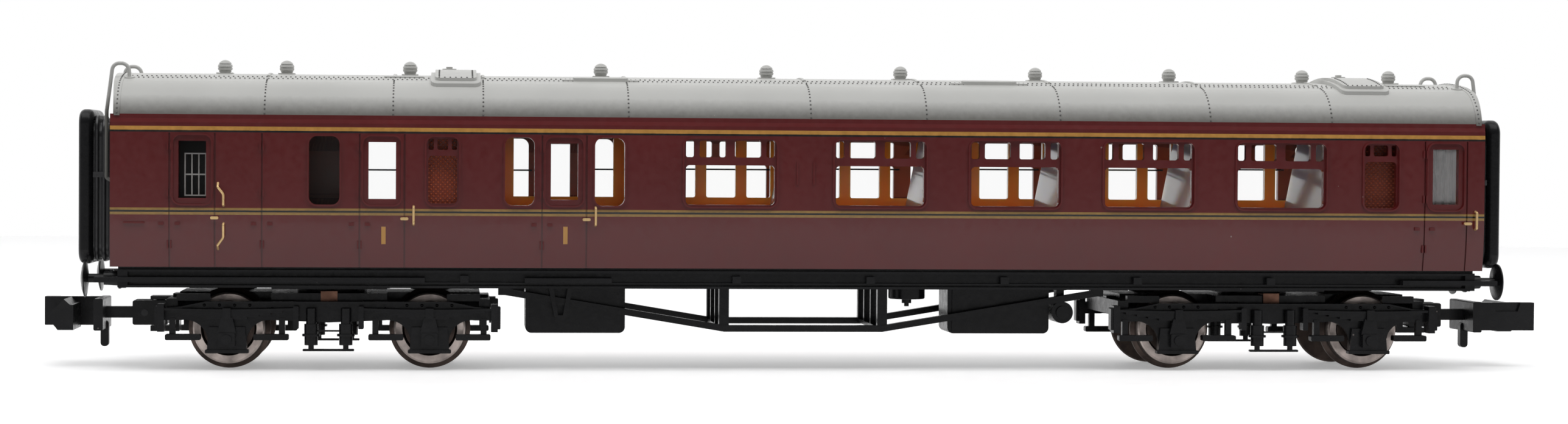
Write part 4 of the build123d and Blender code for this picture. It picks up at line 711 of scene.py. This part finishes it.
def area_light(name, size, location, target, power):
    """A rectangular lamp that points at a target."""
    data = bpy.data.lights.new(name, "AREA")
    data.shape = "RECTANGLE"
    data.size, data.size_y = size
    data.energy = power
    light = bpy.data.objects.new(name, data)
    bpy.context.scene.collection.objects.link(light)
    light.location = location
    light.rotation_euler = (Vector(target) - Vector(location)).to_track_quat("-Z", "Y").to_euler()


def floor_material():
    """White to the camera and in reflections, and grey to the light that it throws back at the object."""
    material, tree, shader, where = principled("floor", FLOOR_WHITE, 0.6, Specular_IOR_Level=0.2)
    bounce = node(tree, "ShaderNodeLightPath").outputs["Is Diffuse Ray"]
    grain = spread(tree, noise(tree, where, FLOOR_GRAIN, detail=5.0), *HARD)
    white = mix(tree, grain, rgba(FLOOR_WHITE, 0.94), rgba(FLOOR_WHITE))
    tree.links.new(mix(tree, bounce, white, rgba(FLOOR_BOUNCE)), shader.inputs["Base Color"])
    shader.inputs["Emission Color"].default_value = (1, 1, 1, 1)
    seen = math_node(tree, "SUBTRACT", 1.0, bounce)
    tree.links.new(math_node(tree, "MULTIPLY", seen, FLOOR_GLOW), shader.inputs["Emission Strength"])
    return material


def floor():
    """A round white floor that keeps the object's shadow."""
    angles = [2 * math.pi * i / FLOOR_SIDES for i in range(FLOOR_SIDES)]
    verts = [(FLOOR_RADIUS * math.cos(angle), FLOOR_RADIUS * math.sin(angle), 0) for angle in angles]
    mesh = bpy.data.meshes.new("floor")
    mesh.from_pydata(verts, [], [list(range(FLOOR_SIDES))])
    piece = bpy.data.objects.new("floor", mesh)
    bpy.context.scene.collection.objects.link(piece)
    piece.data.materials.append(floor_material())


def world():
    """A white background, round a studio that is brighter straight above and low behind the object."""
    scene_world = bpy.data.worlds.new("studio")
    bpy.context.scene.world = scene_world
    scene_world.use_nodes = True
    tree = scene_world.node_tree
    direction = node(tree, "ShaderNodeTexCoord").outputs["Generated"]
    part = node(tree, "ShaderNodeSeparateXYZ", {0: direction})
    above = spread(tree, part.outputs[2], *OVERHEAD_RISE, 0.0, OVERHEAD_LEVEL)
    back = spread(tree, part.outputs[1], *BACK_RISE, 0.0, BACK_LEVEL)
    low = spread(tree, part.outputs[2], *BACK_FALL, 1.0, 0.0)
    back = math_node(tree, "MULTIPLY", back, low)
    level = math_node(tree, "ADD", math_node(tree, "ADD", above, back), WORLD_LEVEL)
    path = node(tree, "ShaderNodeLightPath")
    seen = math_node(tree, "MAXIMUM", path.outputs["Is Camera Ray"], path.outputs["Is Transmission Ray"])
    behind = spread(tree, part.outputs[1], *MIRRORED_RISE)
    mirrored = math_node(tree, "MULTIPLY", path.outputs["Is Glossy Ray"], behind)
    seen = math_node(tree, "MAXIMUM", seen, mirrored)
    strength = node(tree, "ShaderNodeMix", {0: seen, 2: level, 3: 1.0}).outputs[0]
    background = tree.nodes["Background"]
    background.inputs["Color"].default_value = (1, 1, 1, 1)
    tree.links.new(strength, background.inputs["Strength"])


floor()
world()
area_light("top", LAMP_SIZE, LAMP_PLACE, LAMP_TARGET, LAMP_POWER)

# ---- Camera ----
CAMERA_PLACE = (-32.295, -264.206, 19.542)
YAW, PITCH, ROLL = math.radians(4.982), math.radians(-1.134), math.radians(0.386)
SENSOR_WIDTH, LENS = 36.0, 65.04
SHIFT_X = 0.0531             # of the sensor's width
NEAREST = 0.005              # in metres


def add_camera():
    """The scene's camera, with the turn of its axes worked out from its yaw, pitch and roll."""
    forward = Vector((math.sin(YAW) * math.cos(PITCH), math.cos(YAW) * math.cos(PITCH), math.sin(PITCH)))
    level_right = Vector((math.cos(YAW), -math.sin(YAW), 0))
    level_up = level_right.cross(forward)
    right = level_right * math.cos(ROLL) + level_up * math.sin(ROLL)
    up = level_up * math.cos(ROLL) - level_right * math.sin(ROLL)
    data = bpy.data.cameras.new("camera")
    data.sensor_width, data.lens = SENSOR_WIDTH, LENS
    data.shift_x = SHIFT_X
    data.clip_start = NEAREST
    camera = bpy.data.objects.new("camera", data)
    bpy.context.scene.collection.objects.link(camera)
    turn = Matrix((right, up, -forward)).transposed().to_4x4()
    camera.matrix_world = Matrix.Translation(Vector(CAMERA_PLACE) * MM) @ turn
    bpy.context.scene.camera = camera


add_camera()
bpy.context.scene.view_settings.view_transform = "Standard"
